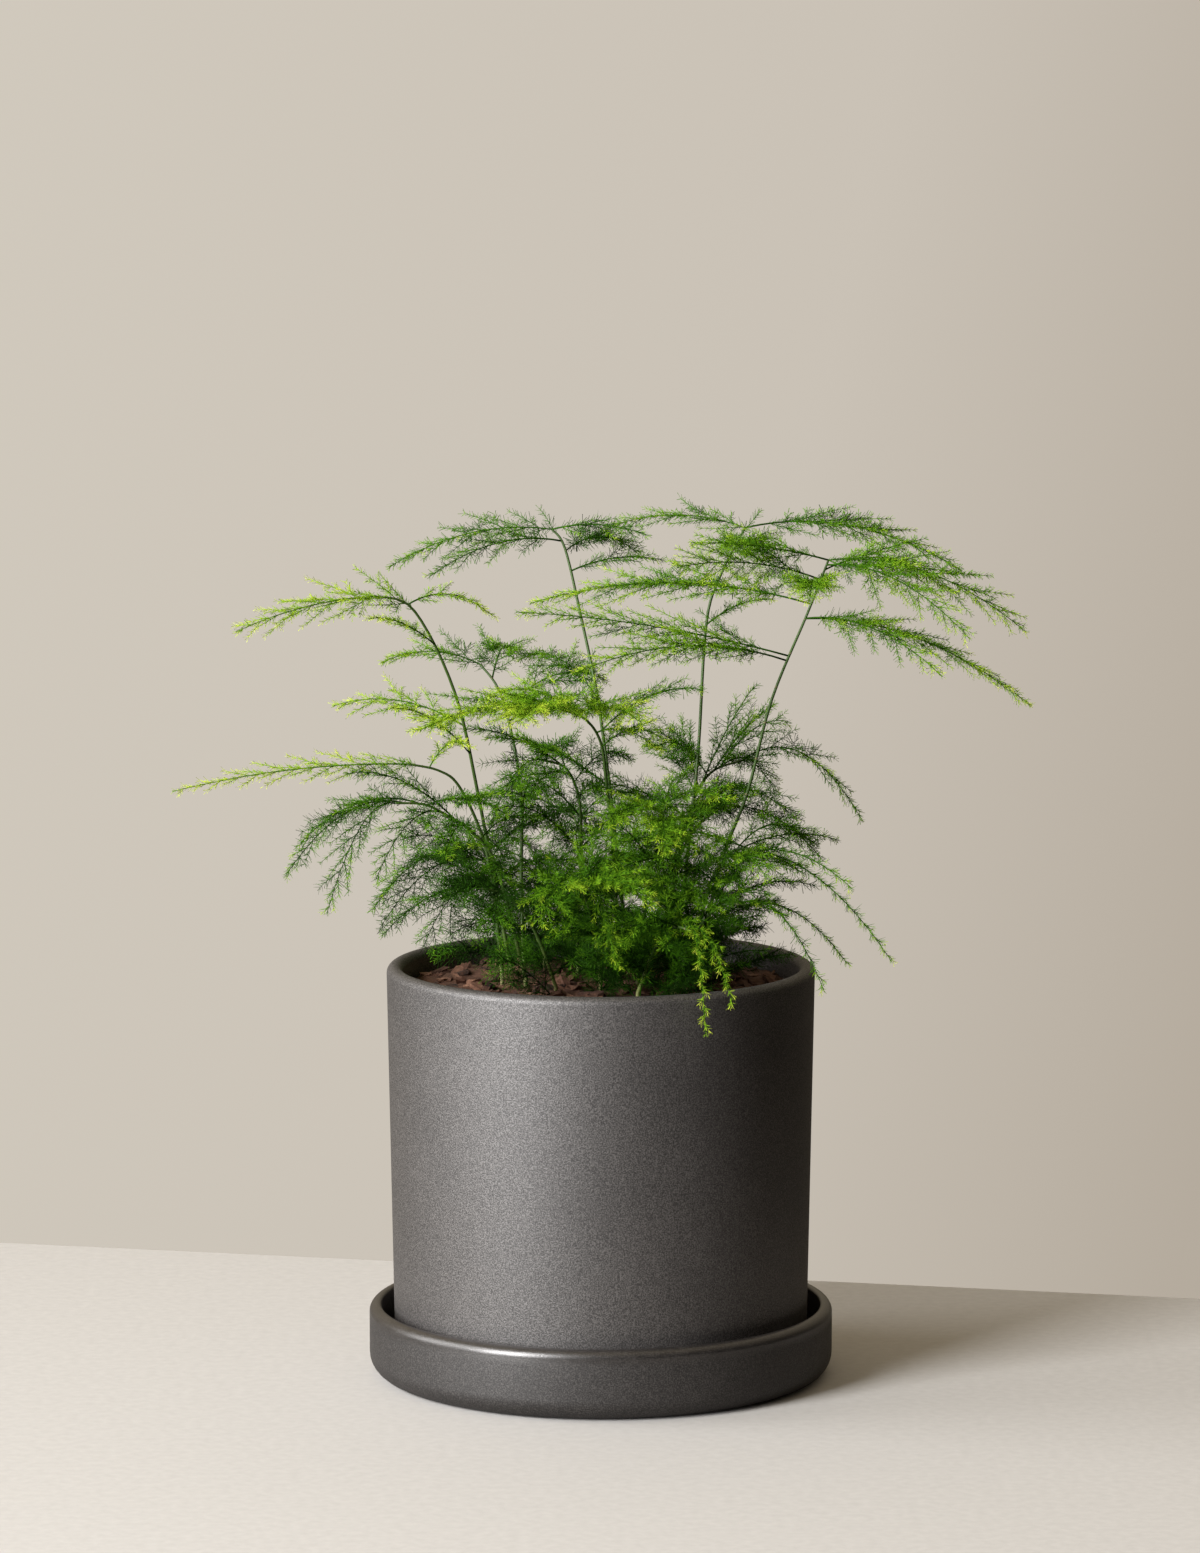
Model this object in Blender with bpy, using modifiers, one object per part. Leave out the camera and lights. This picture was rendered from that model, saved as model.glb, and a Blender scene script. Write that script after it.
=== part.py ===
"""A potted asparagus fern: a glazed saucer, a glazed pot, its soil, and nineteen feathery fronds.

The origin is the centre of the saucer's underside, +Z is up, and -Y is the side that faces the viewer.
Each frond is one solid: a wiry stem, arching spray ribs, side twigs and needles, fused where they grow
from each other. It stands in its own plain hole in the soil, and it is grown clear of all the others.
"""

import math
import random

import bmesh
import bpy
import numpy as np
from mathutils import Matrix, Vector, noise

MM = 0.001
UP = Vector((0, 0, 1))
FIT_GAP = 0.3 * MM  # between pieces that rest on, or stand in, each other
TURN_STEPS = 36

# Saucer
SAUCER_RADIUS = 89.7 * MM
SAUCER_HEIGHT = 27.5 * MM
SAUCER_WALL = 4.7 * MM
SAUCER_FLOOR = 6.5 * MM
SAUCER_FOOT_ROUND = 8.5 * MM
SAUCER_INNER_ROUND = 4 * MM
MERGE_DISTANCE = 0.01 * MM  # joins the seam of a turned shape and the caps of a tube

# Pot
POT_TOP_RADIUS = 82.5 * MM
POT_FOOT_RADIUS = 79.8 * MM
POT_HEIGHT = 153 * MM
POT_WALL = 6.2 * MM
POT_FLOOR = 9 * MM
POT_FOOT_ROUND = 4 * MM
POT_INNER_ROUND = 6 * MM
FOOT_RECESS = 1.5 * MM
FOOT_RING_WIDTH = 9 * MM
DRAIN_RADIUS = 7 * MM
POT_BASE_Z = SAUCER_FLOOR + FIT_GAP
RIM_Z = POT_BASE_Z + POT_HEIGHT

# Soil
SOIL_BELOW_RIM = 9.5 * MM
SOIL_MOUND = 2 * MM
SOIL_ROUGHNESS = 1.2 * MM
SOIL_LUMP_SIZE = 14 * MM
SOIL_RINGS = 4
SOIL_Z = RIM_Z - SOIL_BELOW_RIM
ROOT_DEPTH = 24 * MM
ROOT_STANDS_PROUD = 5 * MM  # the straight foot of a stem reaches this far above the soil

# Fronds
STEM_RADIUS = (1.25 * MM, 1.0 * MM)  # at the soil, and where the last spray starts
STEM_STEPS = 2  # curve pieces between two given points of a stem
RIB_RADIUS = (0.75 * MM, 0.5 * MM)
RIB_STEPS = 6
NODE_SPACING = 12 * MM  # between the places on a rib where twigs leave
NODE_RANGE = (0.16, 0.9)  # the first and the last of them, as shares of the rib's length
SECTION_LENGTH = 0.9 * MM  # of the short stretch of rib or twig that a twig or needle grows from
TWIG_ANGLE = math.radians(52)
TWIG_BENDS = [-6, 10, -20, 24]  # degrees that a twig may be bent up or down to grow clear
TWIG_SHORTENINGS = [1, 0.7, 0.5]
SHORTEST_TWIG = 7 * MM
WHORL_SHARE = 0.45  # of the twig's length, where its needles stand
WHORL_TAPER = 0.8
NEEDLE_LENGTH = 6.5 * MM
NEEDLE_ANGLE = math.radians(50)
CLEARANCE = 1.9 * MM  # from the axis of a limb to that of another frond's limb
OWN_CLEARANCE = 1.15 * MM  # and to that of another limb of its own frond
BASE_LENGTH = 1.8 * MM  # of a limb that may lie nearer to what it grows from
SAMPLE_STEP = 1 * MM

# Each frond in millimetres: its root in the soil as (x, y), the points that its stem passes after it,
# and its sprays as (share of the stem where it leaves, tip, arch above the straight line, half width).
FRONDS = {
    "frond_tall_left": {
        "root": (-35, 15),
        "stem": [(-47, 8, 223), (-56, 0, 265), (-71, -8, 297), (-84, -12, 303)],
        "sprays": [
            (1.00, (-138, -28, 291), 4, 15),
            (0.94, (-55, 22, 302), 5, 10),
            (0.84, (-86, -45, 298), 3, 9),
            (0.66, (-104, 32, 256), 6, 13),
            (0.60, (-79, -45, 264), 5, 11),
        ],
    },
    "frond_tall_middle": {
        "root": (11, 16),
        "stem": [(5, 21, 212), (-1, 28, 258), (-8, 35, 292), (-14, 40, 317), (-19, 42, 324)],
        "sprays": [
            (1.00, (-83, 56, 308), 6, 14),
            (0.97, (-66, 14, 308), 6, 12),
            (1.00, (18, 26, 323), 3, 10),
            (0.95, (14, 88, 311), 6, 15),
            (0.91, (24, 54, 311), 3, 10),
            (0.60, (39, -2, 266), 6, 12),
            (0.66, (-32, 92, 268), 8, 14),
        ],
    },
    "frond_tall_inner_right": {
        "root": (28, 5),
        "stem": [(35, 13, 213), (38, 22, 243), (41, 30, 289), (47, 34, 308), (56, 38, 325)],
        "sprays": [
            (1.00, (2, 62, 323), 9, 12),
            (1.00, (141, 52, 307), 14, 19),
            (0.93, (66, 112, 305), 8, 16),
            (0.80, (66, 8, 300), 3, 8),
        ],
    },
    "frond_tall_right": {
        "root": (38, -6),
        "stem": [(45, -9, 197), (56, -13, 228), (65, -17, 264), (78, -23, 297), (86, -25, 318)],
        "sprays": [
            (1.00, (160, -38, 292), 11, 20),
            (0.99, (136, -84, 294), 8, 16),
            (0.98, (132, 8, 304), 8, 14),
            (0.84, (163, -30, 263), 9, 16),
            (0.83, (126, -82, 280), 7, 13),
            (1.00, (34, -42, 326), 2, 14),
            (0.96, (28, -78, 320), 4, 18),
            (0.94, (76, -106, 310), 5, 15),
            (0.91, (-27, 2, 299), 8, 18),
            (0.73, (-40, -32, 298), 3, 13),
            (0.72, (-12, -64, 284), 8, 14),
        ],
    },
    "frond_middle_left": {
        "root": (-30, 26),
        "stem": [(-31, 29, 185), (-31, 31, 220), (-35, 35, 246), (-40, 39, 262), (-47, 43, 271)],
        "sprays": [
            (1.00, (-86, 58, 270), 5, 12),
            (0.95, (-36, 88, 272), 6, 14),
            (0.86, (2, 70, 262), 8, 13),
        ],
    },
    "frond_middle_front": {
        "root": (7, 0),
        "stem": [(5, -4, 201), (2, -8, 232), (0, -12, 247), (-6, -20, 257), (-16, -30, 262)],
        "sprays": [
            (1.00, (-67, -74, 259), 5, 20),
            (0.97, (-30, -112, 266), 5, 20),
            (0.93, (16, -84, 262), 5, 14),
            (0.84, (21, -32, 247), 4, 8),
            (0.86, (-44, 0, 263), 8, 12),
        ],
    },
    "frond_long_left": {
        "root": (-38, 0),
        "stem": [(-41, -1, 185), (-45, -2, 208), (-54, -6, 229), (-62, -10, 236), (-74, -14, 239)],
        "sprays": [
            (1.00, (-162, -34, 231), 3, 10),
            (0.93, (-50, -40, 249), 5, 8),
        ],
    },
    "frond_drooping_left": {
        "root": (-29, -9),
        "stem": [(-40, -14, 200), (-50, -18, 214), (-58, -22, 220), (-67, -26, 225), (-78, -30, 226)],
        "sprays": [
            (1.00, (-103, -50, 187), 12, 13),
            (0.97, (-119, -42, 200), 10, 13),
            (0.92, (-115, -10, 208), 8, 11),
            (0.84, (-84, -66, 202), 9, 13),
            (0.74, (-58, -80, 212), 6, 12),
        ],
    },
    "frond_back_left": {
        "root": (-22, 38),
        "stem": [(-30, 44, 176), (-42, 50, 190), (-55, 54, 195)],
        "sprays": [
            (1.00, (-90, 58, 172), 8, 14),
            (0.92, (-86, 22, 170), 9, 12),
            (0.88, (-62, 98, 184), 7, 15),
        ],
    },
    "frond_arching_right": {
        "root": (24, 22),
        "stem": [(29, 27, 190), (35, 33, 216), (43, 39, 229), (55, 44, 233)],
        "sprays": [
            (1.00, (103, 54, 208), 15, 13),
            (0.84, (60, 46, 262), 3, 9),
            (0.90, (67, 20, 258), 3, 9),
            (0.80, (18, 84, 234), 6, 13),
            (0.93, (70, 92, 214), 8, 13),
        ],
    },
    "frond_low_right": {
        "root": (33, -20),
        "stem": [(38, -22, 180), (44, -24, 200), (52, -26, 208), (62, -28, 207)],
        "sprays": [
            (1.00, (110, -40, 167), 8, 11),
            (0.97, (94, -62, 198), 5, 12),
            (0.91, (92, 12, 206), 4, 13),
            (0.82, (62, -80, 204), 5, 13),
        ],
    },
    "frond_rim_right": {
        "root": (28, -34),
        "stem": [(35, -38, 176), (45, -41, 188), (55, -42, 189)],
        "sprays": [
            (1.00, (94, -20, 163), 8, 11),
            (0.96, (84, -52, 158), 12, 11),
        ],
    },
    "frond_front_hanging": {
        "root": (14, -42),
        "stem": [(20, -48, 172), (27, -55, 182), (34, -62, 182)],
        "sprays": [
            (1.00, (42, -84, 146), 15, 8),
            (0.95, (53, -78, 157), 12, 8),
        ],
    },
    "frond_front_middle": {
        "root": (0, -26),
        "stem": [(-2, -33, 175), (-6, -41, 192), (-11, -49, 199)],
        "sprays": [
            (1.00, (-22, -88, 188), 6, 17),
            (0.96, (6, -72, 170), 12, 12),
            (0.92, (20, -94, 196), 6, 13),
        ],
    },
    "frond_front_left": {
        "root": (-17, -30),
        "stem": [(-25, -36, 178), (-35, -43, 192), (-45, -48, 196)],
        "sprays": [
            (1.00, (-66, -74, 178), 8, 14),
            (0.92, (-82, -44, 178), 8, 12),
            (0.90, (-40, -86, 178), 8, 13),
        ],
    },
    "frond_inner_left": {
        "root": (-9, 20),
        "stem": [(-8, 17, 190), (-8, 13, 219), (-13, 9, 234), (-22, 5, 238)],
        "sprays": [
            (1.00, (-42, -14, 216), 8, 13),
            (0.92, (-22, 58, 232), 7, 14),
            (0.88, (-28, -40, 228), 6, 13),
        ],
    },
    "frond_inner_right": {
        "root": (14, -14),
        "stem": [(17, -18, 185), (21, -23, 211), (25, -30, 226)],
        "sprays": [
            (1.00, (46, -66, 232), 4, 14),
            (0.95, (2, -78, 224), 5, 15),
            (0.90, (24, -100, 216), 6, 13),
            (0.84, (52, 6, 220), 6, 10),
        ],
    },
    "frond_back_right": {
        "root": (17, 38),
        "stem": [(26, 50, 182), (36, 62, 202), (46, 72, 210)],
        "sprays": [
            (1.00, (88, 92, 188), 8, 15),
            (0.93, (50, 118, 198), 7, 15),
        ],
    },
    "frond_back_middle": {
        "root": (-4, 44),
        "stem": [(-6, 57, 182), (-9, 72, 202), (-12, 84, 207)],
        "sprays": [
            (1.00, (-20, 132, 186), 8, 15),
            (0.93, (-58, 116, 206), 8, 14),
            (0.90, (18, 126, 206), 8, 12),
        ],
    },
}


def clear_scene():
    for obj in list(bpy.data.objects):
        bpy.data.objects.remove(obj)


def new_collection(name):
    collection = bpy.data.collections.new(name)
    bpy.context.scene.collection.children.link(collection)
    return collection


def make_material(name, color, roughness):
    material = bpy.data.materials.new(name)
    material.use_nodes = True
    shader = material.node_tree.nodes["Principled BSDF"]
    shader.inputs["Base Color"].default_value = (*color, 1)
    shader.inputs["Roughness"].default_value = roughness
    shader.inputs["Metallic"].default_value = 0
    return material


def add_object(name, mesh, material, collection):
    obj = bpy.data.objects.new(name, mesh)
    if material:
        mesh.materials.clear()
        mesh.materials.append(material)
    collection.objects.link(obj)
    return obj


def arc(center, radius, start, end, pieces):
    """Points (r, z) of an arc from angle start to end, in degrees, both ends included."""
    angles = [math.radians(start + (end - start) * i / pieces) for i in range(pieces + 1)]
    return [(center[0] + radius * math.cos(a), center[1] + radius * math.sin(a)) for a in angles]


def turned(name, profile, closed, material, collection):
    """A solid of revolution: the (r, z) profile runs down its outer side, and a Screw turns it about Z."""
    bm = bmesh.new()
    points = [bm.verts.new((r, 0, z)) for r, z in profile]
    for a, b in zip(points, points[1:] + points[:1] if closed else points[1:]):
        bm.edges.new((a, b))
    mesh = bpy.data.meshes.new(name)
    bm.to_mesh(mesh)
    bm.free()
    obj = add_object(name, mesh, material, collection)
    screw = obj.modifiers.new("turn", "SCREW")
    screw.steps = screw.render_steps = TURN_STEPS
    screw.use_merge_vertices = True
    screw.merge_threshold = MERGE_DISTANCE
    screw.use_smooth_shade = True
    return obj


def make_saucer(material, collection):
    lip = SAUCER_WALL / 2
    inner = SAUCER_RADIUS - SAUCER_WALL
    profile = [
        (0, SAUCER_FLOOR),
        *arc((inner - SAUCER_INNER_ROUND, SAUCER_FLOOR + SAUCER_INNER_ROUND), SAUCER_INNER_ROUND, -90, 0, 2),
        *arc((SAUCER_RADIUS - lip, SAUCER_HEIGHT - lip), lip, 180, 0, 3),
        *arc((SAUCER_RADIUS - SAUCER_FOOT_ROUND, SAUCER_FOOT_ROUND), SAUCER_FOOT_ROUND, 0, -90, 3),
        (0, 0),
    ]
    return turned("saucer", profile, False, material, collection)


def pot_outer_radius(z):
    share = (z - POT_BASE_Z) / POT_HEIGHT
    return POT_FOOT_RADIUS + (POT_TOP_RADIUS - POT_FOOT_RADIUS) * share


def make_pot(material, collection):
    """The pot's wall and floor as one closed section, because the drain hole leaves the axis free."""
    lip = POT_WALL / 2
    base, floor = POT_BASE_Z, POT_BASE_Z + POT_FLOOR
    inner_foot = pot_outer_radius(floor) - POT_WALL - POT_INNER_ROUND
    ring_inner = POT_FOOT_RADIUS - POT_FOOT_ROUND - FOOT_RING_WIDTH
    profile = [
        *arc((POT_TOP_RADIUS - lip, RIM_Z - lip), lip, 180, 0, 4),
        *arc((POT_FOOT_RADIUS - POT_FOOT_ROUND, base + POT_FOOT_ROUND), POT_FOOT_ROUND, 0, -90, 2),
        (ring_inner, base),
        (ring_inner - FOOT_RECESS, base + FOOT_RECESS),
        (DRAIN_RADIUS, base + FOOT_RECESS),
        (DRAIN_RADIUS, floor),
        *arc((inner_foot, floor + POT_INNER_ROUND), POT_INNER_ROUND, -90, 0, 2),
    ]
    return turned("pot", profile, True, material, collection)


def soil_height(x, y):
    """Height of the loose soil's surface: a low mound with lumps."""
    edge = pot_outer_radius(SOIL_Z) - POT_WALL - FIT_GAP
    mound = SOIL_MOUND * (1 - (math.hypot(x, y) / edge) ** 2)
    lumps = SOIL_ROUGHNESS * noise.noise(Vector((x, y, 0)) / SOIL_LUMP_SIZE)
    return SOIL_Z + mound + lumps


def make_soil(material, collection):
    """The soil fills the pot. A formula raises its surface, and each root gets a hole."""
    bottom = POT_BASE_Z + POT_FLOOR + FIT_GAP
    top_edge = pot_outer_radius(SOIL_Z) - POT_WALL - FIT_GAP
    foot_edge = pot_outer_radius(bottom) - POT_WALL - FIT_GAP
    rings = [(top_edge * i / SOIL_RINGS, SOIL_Z) for i in range(SOIL_RINGS + 1)]
    foot = [(foot_edge, bottom + POT_INNER_ROUND), (foot_edge - POT_INNER_ROUND, bottom), (0, bottom)]
    turning = turned("soil_turning", [*rings, *foot], False, None, collection)
    soil = add_object("soil", evaluated_mesh(turning), material, collection)
    bpy.data.objects.remove(turning)
    for vertex in soil.data.vertices:
        if abs(vertex.co.z - SOIL_Z) < FIT_GAP:
            vertex.co.z = soil_height(vertex.co.x, vertex.co.y)
    cutters = new_collection("root_holes")
    cutters.hide_render = True
    for name, frond in FRONDS.items():
        cut_root_hole(name, frond["root"], cutters)
    cut = soil.modifiers.new("root_holes", "BOOLEAN")
    cut.operation = "DIFFERENCE"
    cut.operand_type = "COLLECTION"
    cut.collection = cutters
    return soil


def cut_root_hole(name, root, cutters):
    """A six-sided cutter from just under the stem's foot up to the height of the pot's rim."""
    bm = bmesh.new()
    bottom = SOIL_Z - ROOT_DEPTH - FIT_GAP
    top = RIM_Z
    radius = STEM_RADIUS[0] + 2 * FIT_GAP
    bmesh.ops.create_cone(bm, cap_ends=True, segments=6, radius1=radius, radius2=radius, depth=top - bottom)
    mesh = bpy.data.meshes.new(name + "_hole")
    bm.to_mesh(mesh)
    bm.free()
    cutter = add_object(name + "_hole", mesh, None, cutters)
    cutter.location = (root[0] * MM, root[1] * MM, (top + bottom) / 2)
    cutter.hide_render = True
    cutter.display_type = "WIRE"


def evaluated_mesh(obj):
    bpy.context.view_layer.update()
    graph = bpy.context.evaluated_depsgraph_get()
    return bpy.data.meshes.new_from_object(obj.evaluated_get(graph))


def smooth_path(points, steps):
    """Points along a smooth curve through the given ones, with steps pieces between two of them."""
    path = []
    for i in range(len(points) - 1):
        before = points[max(i - 1, 0)]
        start, end = points[i], points[i + 1]
        after = points[min(i + 2, len(points) - 1)]
        for step in range(steps):
            t = step / steps
            path.append(
                0.5
                * (
                    2 * start
                    + (end - before) * t
                    + (2 * before - 5 * start + 4 * end - after) * t**2
                    + (3 * start - before - 3 * end + after) * t**3
                )
            )
    return [*path, points[-1]]


def stem_path(frond):
    """The stem stands straight in its hole, then follows a smooth curve through its points."""
    x, y = frond["root"]
    foot = Vector((x * MM, y * MM, SOIL_Z - ROOT_DEPTH))
    collar = Vector((x * MM, y * MM, SOIL_Z + ROOT_STANDS_PROUD))
    passes = [Vector(point) * MM for point in frond["stem"]]
    return [foot, *smooth_path([collar, *passes], STEM_STEPS)]


def rib_path(start, tip, arch):
    """A spray's rib rises from the stem and bends down to its tip."""
    shares = [i / RIB_STEPS for i in range(RIB_STEPS + 1)]
    return [start.lerp(tip, s) + UP * (4 * arch * s * (1 - s)) for s in shares]


def lengths_along(path):
    spans = [(b - a).length for a, b in zip(path, path[1:])]
    return [sum(spans[:i]) for i in range(len(path))]


def point_on(path, share):
    """The point and the direction at a share of the path's length."""
    marks = lengths_along(path)
    wanted = share * marks[-1]
    i = max(k for k, mark in enumerate(marks[:-1]) if mark <= wanted + 1e-12)
    span = path[i + 1] - path[i]
    return path[i] + span * ((wanted - marks[i]) / span.length), span.normalized()


def grow_skeleton(frond):
    """The stem's path and each spray's rib, with the spray's half width."""
    stem = stem_path(frond)
    ribs = []
    for share, tip, arch, half_width in frond["sprays"]:
        start, _ = point_on(stem, share)
        ribs.append((rib_path(start, Vector(tip) * MM, arch * MM), half_width * MM))
    return stem, ribs


def samples(path):
    """Points along a path, close enough together to test its room."""
    found = []
    for a, b in zip(path, path[1:]):
        count = max(1, math.ceil((b - a).length / SAMPLE_STEP))
        found += [a.lerp(b, i / count) for i in range(count + 1)]
    return np.array(found)


def outline(share):
    """A spray's plan shape, as a share of its half width: wide soon after its base, narrow at its tip."""
    return min(1, 0.45 + 2.2 * share) * (1 - 0.72 * share**1.6)


class Room:
    """The space round one frond: what the other fronds fill, and what this one has filled so far."""

    def __init__(self, others, own):
        self.others = others
        self.own = own

    def fill(self, path):
        self.own = np.concatenate([self.own, samples(path)])

    def is_free(self, start, end):
        """True where a limb from start to end stays clear of all that doesn't lie at its own base."""
        heading = (end - start).normalized()
        points = samples([start + heading * BASE_LENGTH, end])
        return (
            clear_of_vessel(points)
            and least_distance(points, self.others) > CLEARANCE
            and least_distance(points, self.own) > OWN_CLEARANCE
        )


def clear_of_vessel(points):
    """True where no point comes near the pot, the saucer or the soil."""
    radius = np.hypot(points[:, 0], points[:, 1])
    height = points[:, 2]
    above = height > RIM_Z + CLEARANCE
    outside = radius > POT_TOP_RADIUS + CLEARANCE
    inside = (radius < POT_TOP_RADIUS - POT_WALL - CLEARANCE) & (height > SOIL_Z + SOIL_MOUND + CLEARANCE)
    return bool((above | outside | inside).all())


def least_distance(points, filled):
    reach = 2 * CLEARANCE
    low, high = points.min(axis=0) - reach, points.max(axis=0) + reach
    near = filled[((filled >= low) & (filled <= high)).all(axis=1)]
    if not len(near):
        return reach
    return np.linalg.norm(points[:, None] - near[None], axis=2).min()


def section_frame(path, share, radius):
    """The place, turn and size of a rib's cross-section, whose Y points up and whose Z runs along the rib."""
    place, along = point_on(path, share)
    side = UP.cross(along).normalized()
    turn = Matrix((side, along.cross(side), along)).transposed().to_4x4()
    return Matrix.Translation(place) @ turn @ Matrix.Scale(radius, 4)


def extrude_cap(bm, cap, move):
    """Extrudes a limb's end face, moves it by the matrix, and returns it with the new faces round it."""
    end = bmesh.ops.extrude_discrete_faces(bm, faces=[cap])["faces"][0]
    bmesh.ops.transform(bm, matrix=move, verts=end.verts)
    sides = [loop.link_loop_radial_next.face for loop in end.loops]
    for side in sides:
        side.normal_update()
    return end, sides


def pull_spike(bm, face, tip):
    """Raises a face to a point: a needle, or the end of a twig."""
    bmesh.ops.poke(bm, faces=[face])["verts"][0].co = tip


def grow_needle(bm, face, along, chance, room):
    """A needle that leans out from the face of a limb, where it has room."""
    outward = (face.normal - along * face.normal.dot(along)).normalized()
    base = face.calc_center_median()
    heading = along * math.cos(NEEDLE_ANGLE) + outward * math.sin(NEEDLE_ANGLE)
    tip = base + heading * NEEDLE_LENGTH * chance.uniform(0.85, 1.1)
    if room.is_free(base, tip):
        room.fill([base, tip])
        pull_spike(bm, face, tip)


def twig_tip(base, along, side, reach, room):
    """The far end of a side twig, bent up, down or short enough to grow clear. None where it has no room."""
    for shortening in TWIG_SHORTENINGS:
        for bend in TWIG_BENDS:
            lift = UP * math.tan(math.radians(bend))
            heading = (along * math.cos(TWIG_ANGLE) + side * math.sin(TWIG_ANGLE) + lift).normalized()
            tip = base + heading * reach * shortening
            if room.is_free(base, tip):
                return tip
    return None


def grow_twig(bm, face, tip, has_whorl, chance, room):
    """A side twig drawn out from a face of the rib. Its needles stand in a whorl round its middle."""
    base = face.calc_center_median()
    twig = tip - base
    if not has_whorl:
        pull_spike(bm, face, tip)
        return
    for move, taper in [(twig * WHORL_SHARE, WHORL_TAPER), (twig.normalized() * SECTION_LENGTH, 1)]:
        centre = face.calc_center_median()
        shrink = Matrix.Translation(centre) @ Matrix.Scale(taper, 4) @ Matrix.Translation(-centre)
        face, sides = extrude_cap(bm, face, Matrix.Translation(move) @ shrink)
    pull_spike(bm, face, tip)
    for side in sides:
        grow_needle(bm, side, twig.normalized(), chance, room)


def spray_mesh(name, rib, half_width, chance, room):
    """One spray: a three-sided rib, with a pair of twigs and a needle below at each of its nodes."""
    bm = bmesh.new()
    length = lengths_along(rib)[-1]
    nodes = max(2, round(length / NODE_SPACING))
    shares = [NODE_RANGE[0] + (NODE_RANGE[1] - NODE_RANGE[0]) * i / (nodes - 1) for i in range(nodes)]
    here = section_frame(rib, 0, RIB_RADIUS[0])
    bmesh.ops.create_circle(bm, cap_ends=True, segments=3, radius=1, matrix=here)
    bm.faces.ensure_lookup_table()
    cap = bm.faces[0]
    for i, share in enumerate(shares):
        radius = RIB_RADIUS[0] + (RIB_RADIUS[1] - RIB_RADIUS[0]) * share
        for step in (share, share + SECTION_LENGTH / length):
            there = section_frame(rib, step, radius)
            cap, faces = extrude_cap(bm, cap, there @ here.inverted())
            here = there
        along = here.col[2].to_3d().normalized()
        grow_node(bm, faces, along, half_width * outline(share), i, chance, room)
    pull_spike(bm, cap, rib[-1])
    bmesh.ops.holes_fill(bm, edges=[edge for edge in bm.edges if edge.is_boundary])
    bmesh.ops.recalc_face_normals(bm, faces=bm.faces)
    bmesh.ops.triangulate(bm, faces=bm.faces)
    mesh = bpy.data.meshes.new(name)
    bm.to_mesh(mesh)
    bm.free()
    return mesh


def grow_node(bm, faces, along, width, i, chance, room):
    """Twigs from the left and right faces of a rib's node, and a needle from the face that is left."""
    for sign in (-1, 1):
        side = along.cross(UP).normalized() * sign
        face = max(faces, key=lambda each: each.normal.dot(side))
        faces = [other for other in faces if other is not face]
        has_whorl = i % 2 == 0 and sign == (-1) ** (i // 2)  # at every second node, on alternate sides
        base = face.calc_center_median()
        reach = width / math.sin(TWIG_ANGLE) * (1 if has_whorl else chance.uniform(0.7, 1))
        tip = twig_tip(base, along, side, reach, room) if reach > SHORTEST_TWIG else None
        if tip:
            room.fill([base, tip])
            grow_twig(bm, face, tip, has_whorl, chance, room)
        else:
            grow_needle(bm, face, along, chance, room)
    for face in faces:
        grow_needle(bm, face, along, chance, room)


def tube(name, path, radii, collection):
    """A four-sided tube along the path, narrowing from the first radius to the second."""
    curve = bpy.data.curves.new(name, "CURVE")
    curve.dimensions = "3D"
    curve.bevel_depth = 1
    curve.bevel_resolution = 0
    curve.use_fill_caps = True
    spline = curve.splines.new("POLY")
    spline.points.add(len(path) - 1)
    marks = lengths_along(path)
    for point, place, mark in zip(spline.points, path, marks):
        point.co = (*place, 1)
        point.radius = radii[0] + (radii[1] - radii[0]) * mark / marks[-1]
    guide = bpy.data.objects.new(name, curve)
    collection.objects.link(guide)
    mesh = evaluated_mesh(guide)
    bm = bmesh.new()
    bm.from_mesh(mesh)
    bmesh.ops.remove_doubles(bm, verts=bm.verts, dist=MERGE_DISTANCE)
    bmesh.ops.recalc_face_normals(bm, faces=bm.faces)
    bm.to_mesh(mesh)
    bm.free()
    bpy.data.objects.remove(guide)
    return add_object(name, mesh, None, collection)


def fuse(name, stem, sprays, material, collection):
    """One Boolean union joins the stem and everything in the sprays collection, which is then removed."""
    union = stem.modifiers.new("grown_together", "BOOLEAN")
    union.operation = "UNION"
    union.operand_type = "COLLECTION"
    union.collection = sprays
    mesh = evaluated_mesh(stem)
    bpy.data.objects.remove(stem)
    for obj in list(sprays.objects):
        bpy.data.objects.remove(obj)
    bpy.data.collections.remove(sprays)
    return add_object(name, mesh, material, collection)


def make_frond(name, skeleton, room, material, collection):
    """One frond as one solid."""
    stem, ribs = skeleton
    chance = random.Random(name)
    sprays = new_collection(name + "_sprays")
    for i, (rib, half_width) in enumerate(ribs):
        spray = f"{name}_spray_{i}"
        add_object(spray, spray_mesh(spray, rib, half_width, chance, room), None, sprays)
    fuse(name, tube(name + "_stem", stem, STEM_RADIUS, collection), sprays, material, collection)


def make_fronds(material, collection):
    """All stems and ribs are laid out first. Each frond's twigs and needles then grow clear of the rest."""
    skeletons = {name: grow_skeleton(frond) for name, frond in FRONDS.items()}
    filled = {
        name: np.concatenate([samples(stem), *[samples(rib) for rib, _ in ribs]])
        for name, (stem, ribs) in skeletons.items()
    }
    for name, skeleton in skeletons.items():
        others = np.concatenate([points for other, points in filled.items() if other != name])
        room = Room(others, filled[name])
        make_frond(name, skeleton, room, material, collection)
        filled[name] = room.own


def main():
    clear_scene()
    plant = new_collection("potted_asparagus_fern")
    glaze = make_material("charcoal_glaze", (0.075, 0.071, 0.070), 0.45)
    soil = make_material("potting_soil", (0.16, 0.075, 0.04), 0.95)
    green = make_material("fern_green", (0.09, 0.28, 0.035), 0.55)
    make_saucer(glaze, plant)
    make_pot(glaze, plant)
    make_soil(soil, plant)
    make_fronds(green, plant)


main()
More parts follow.
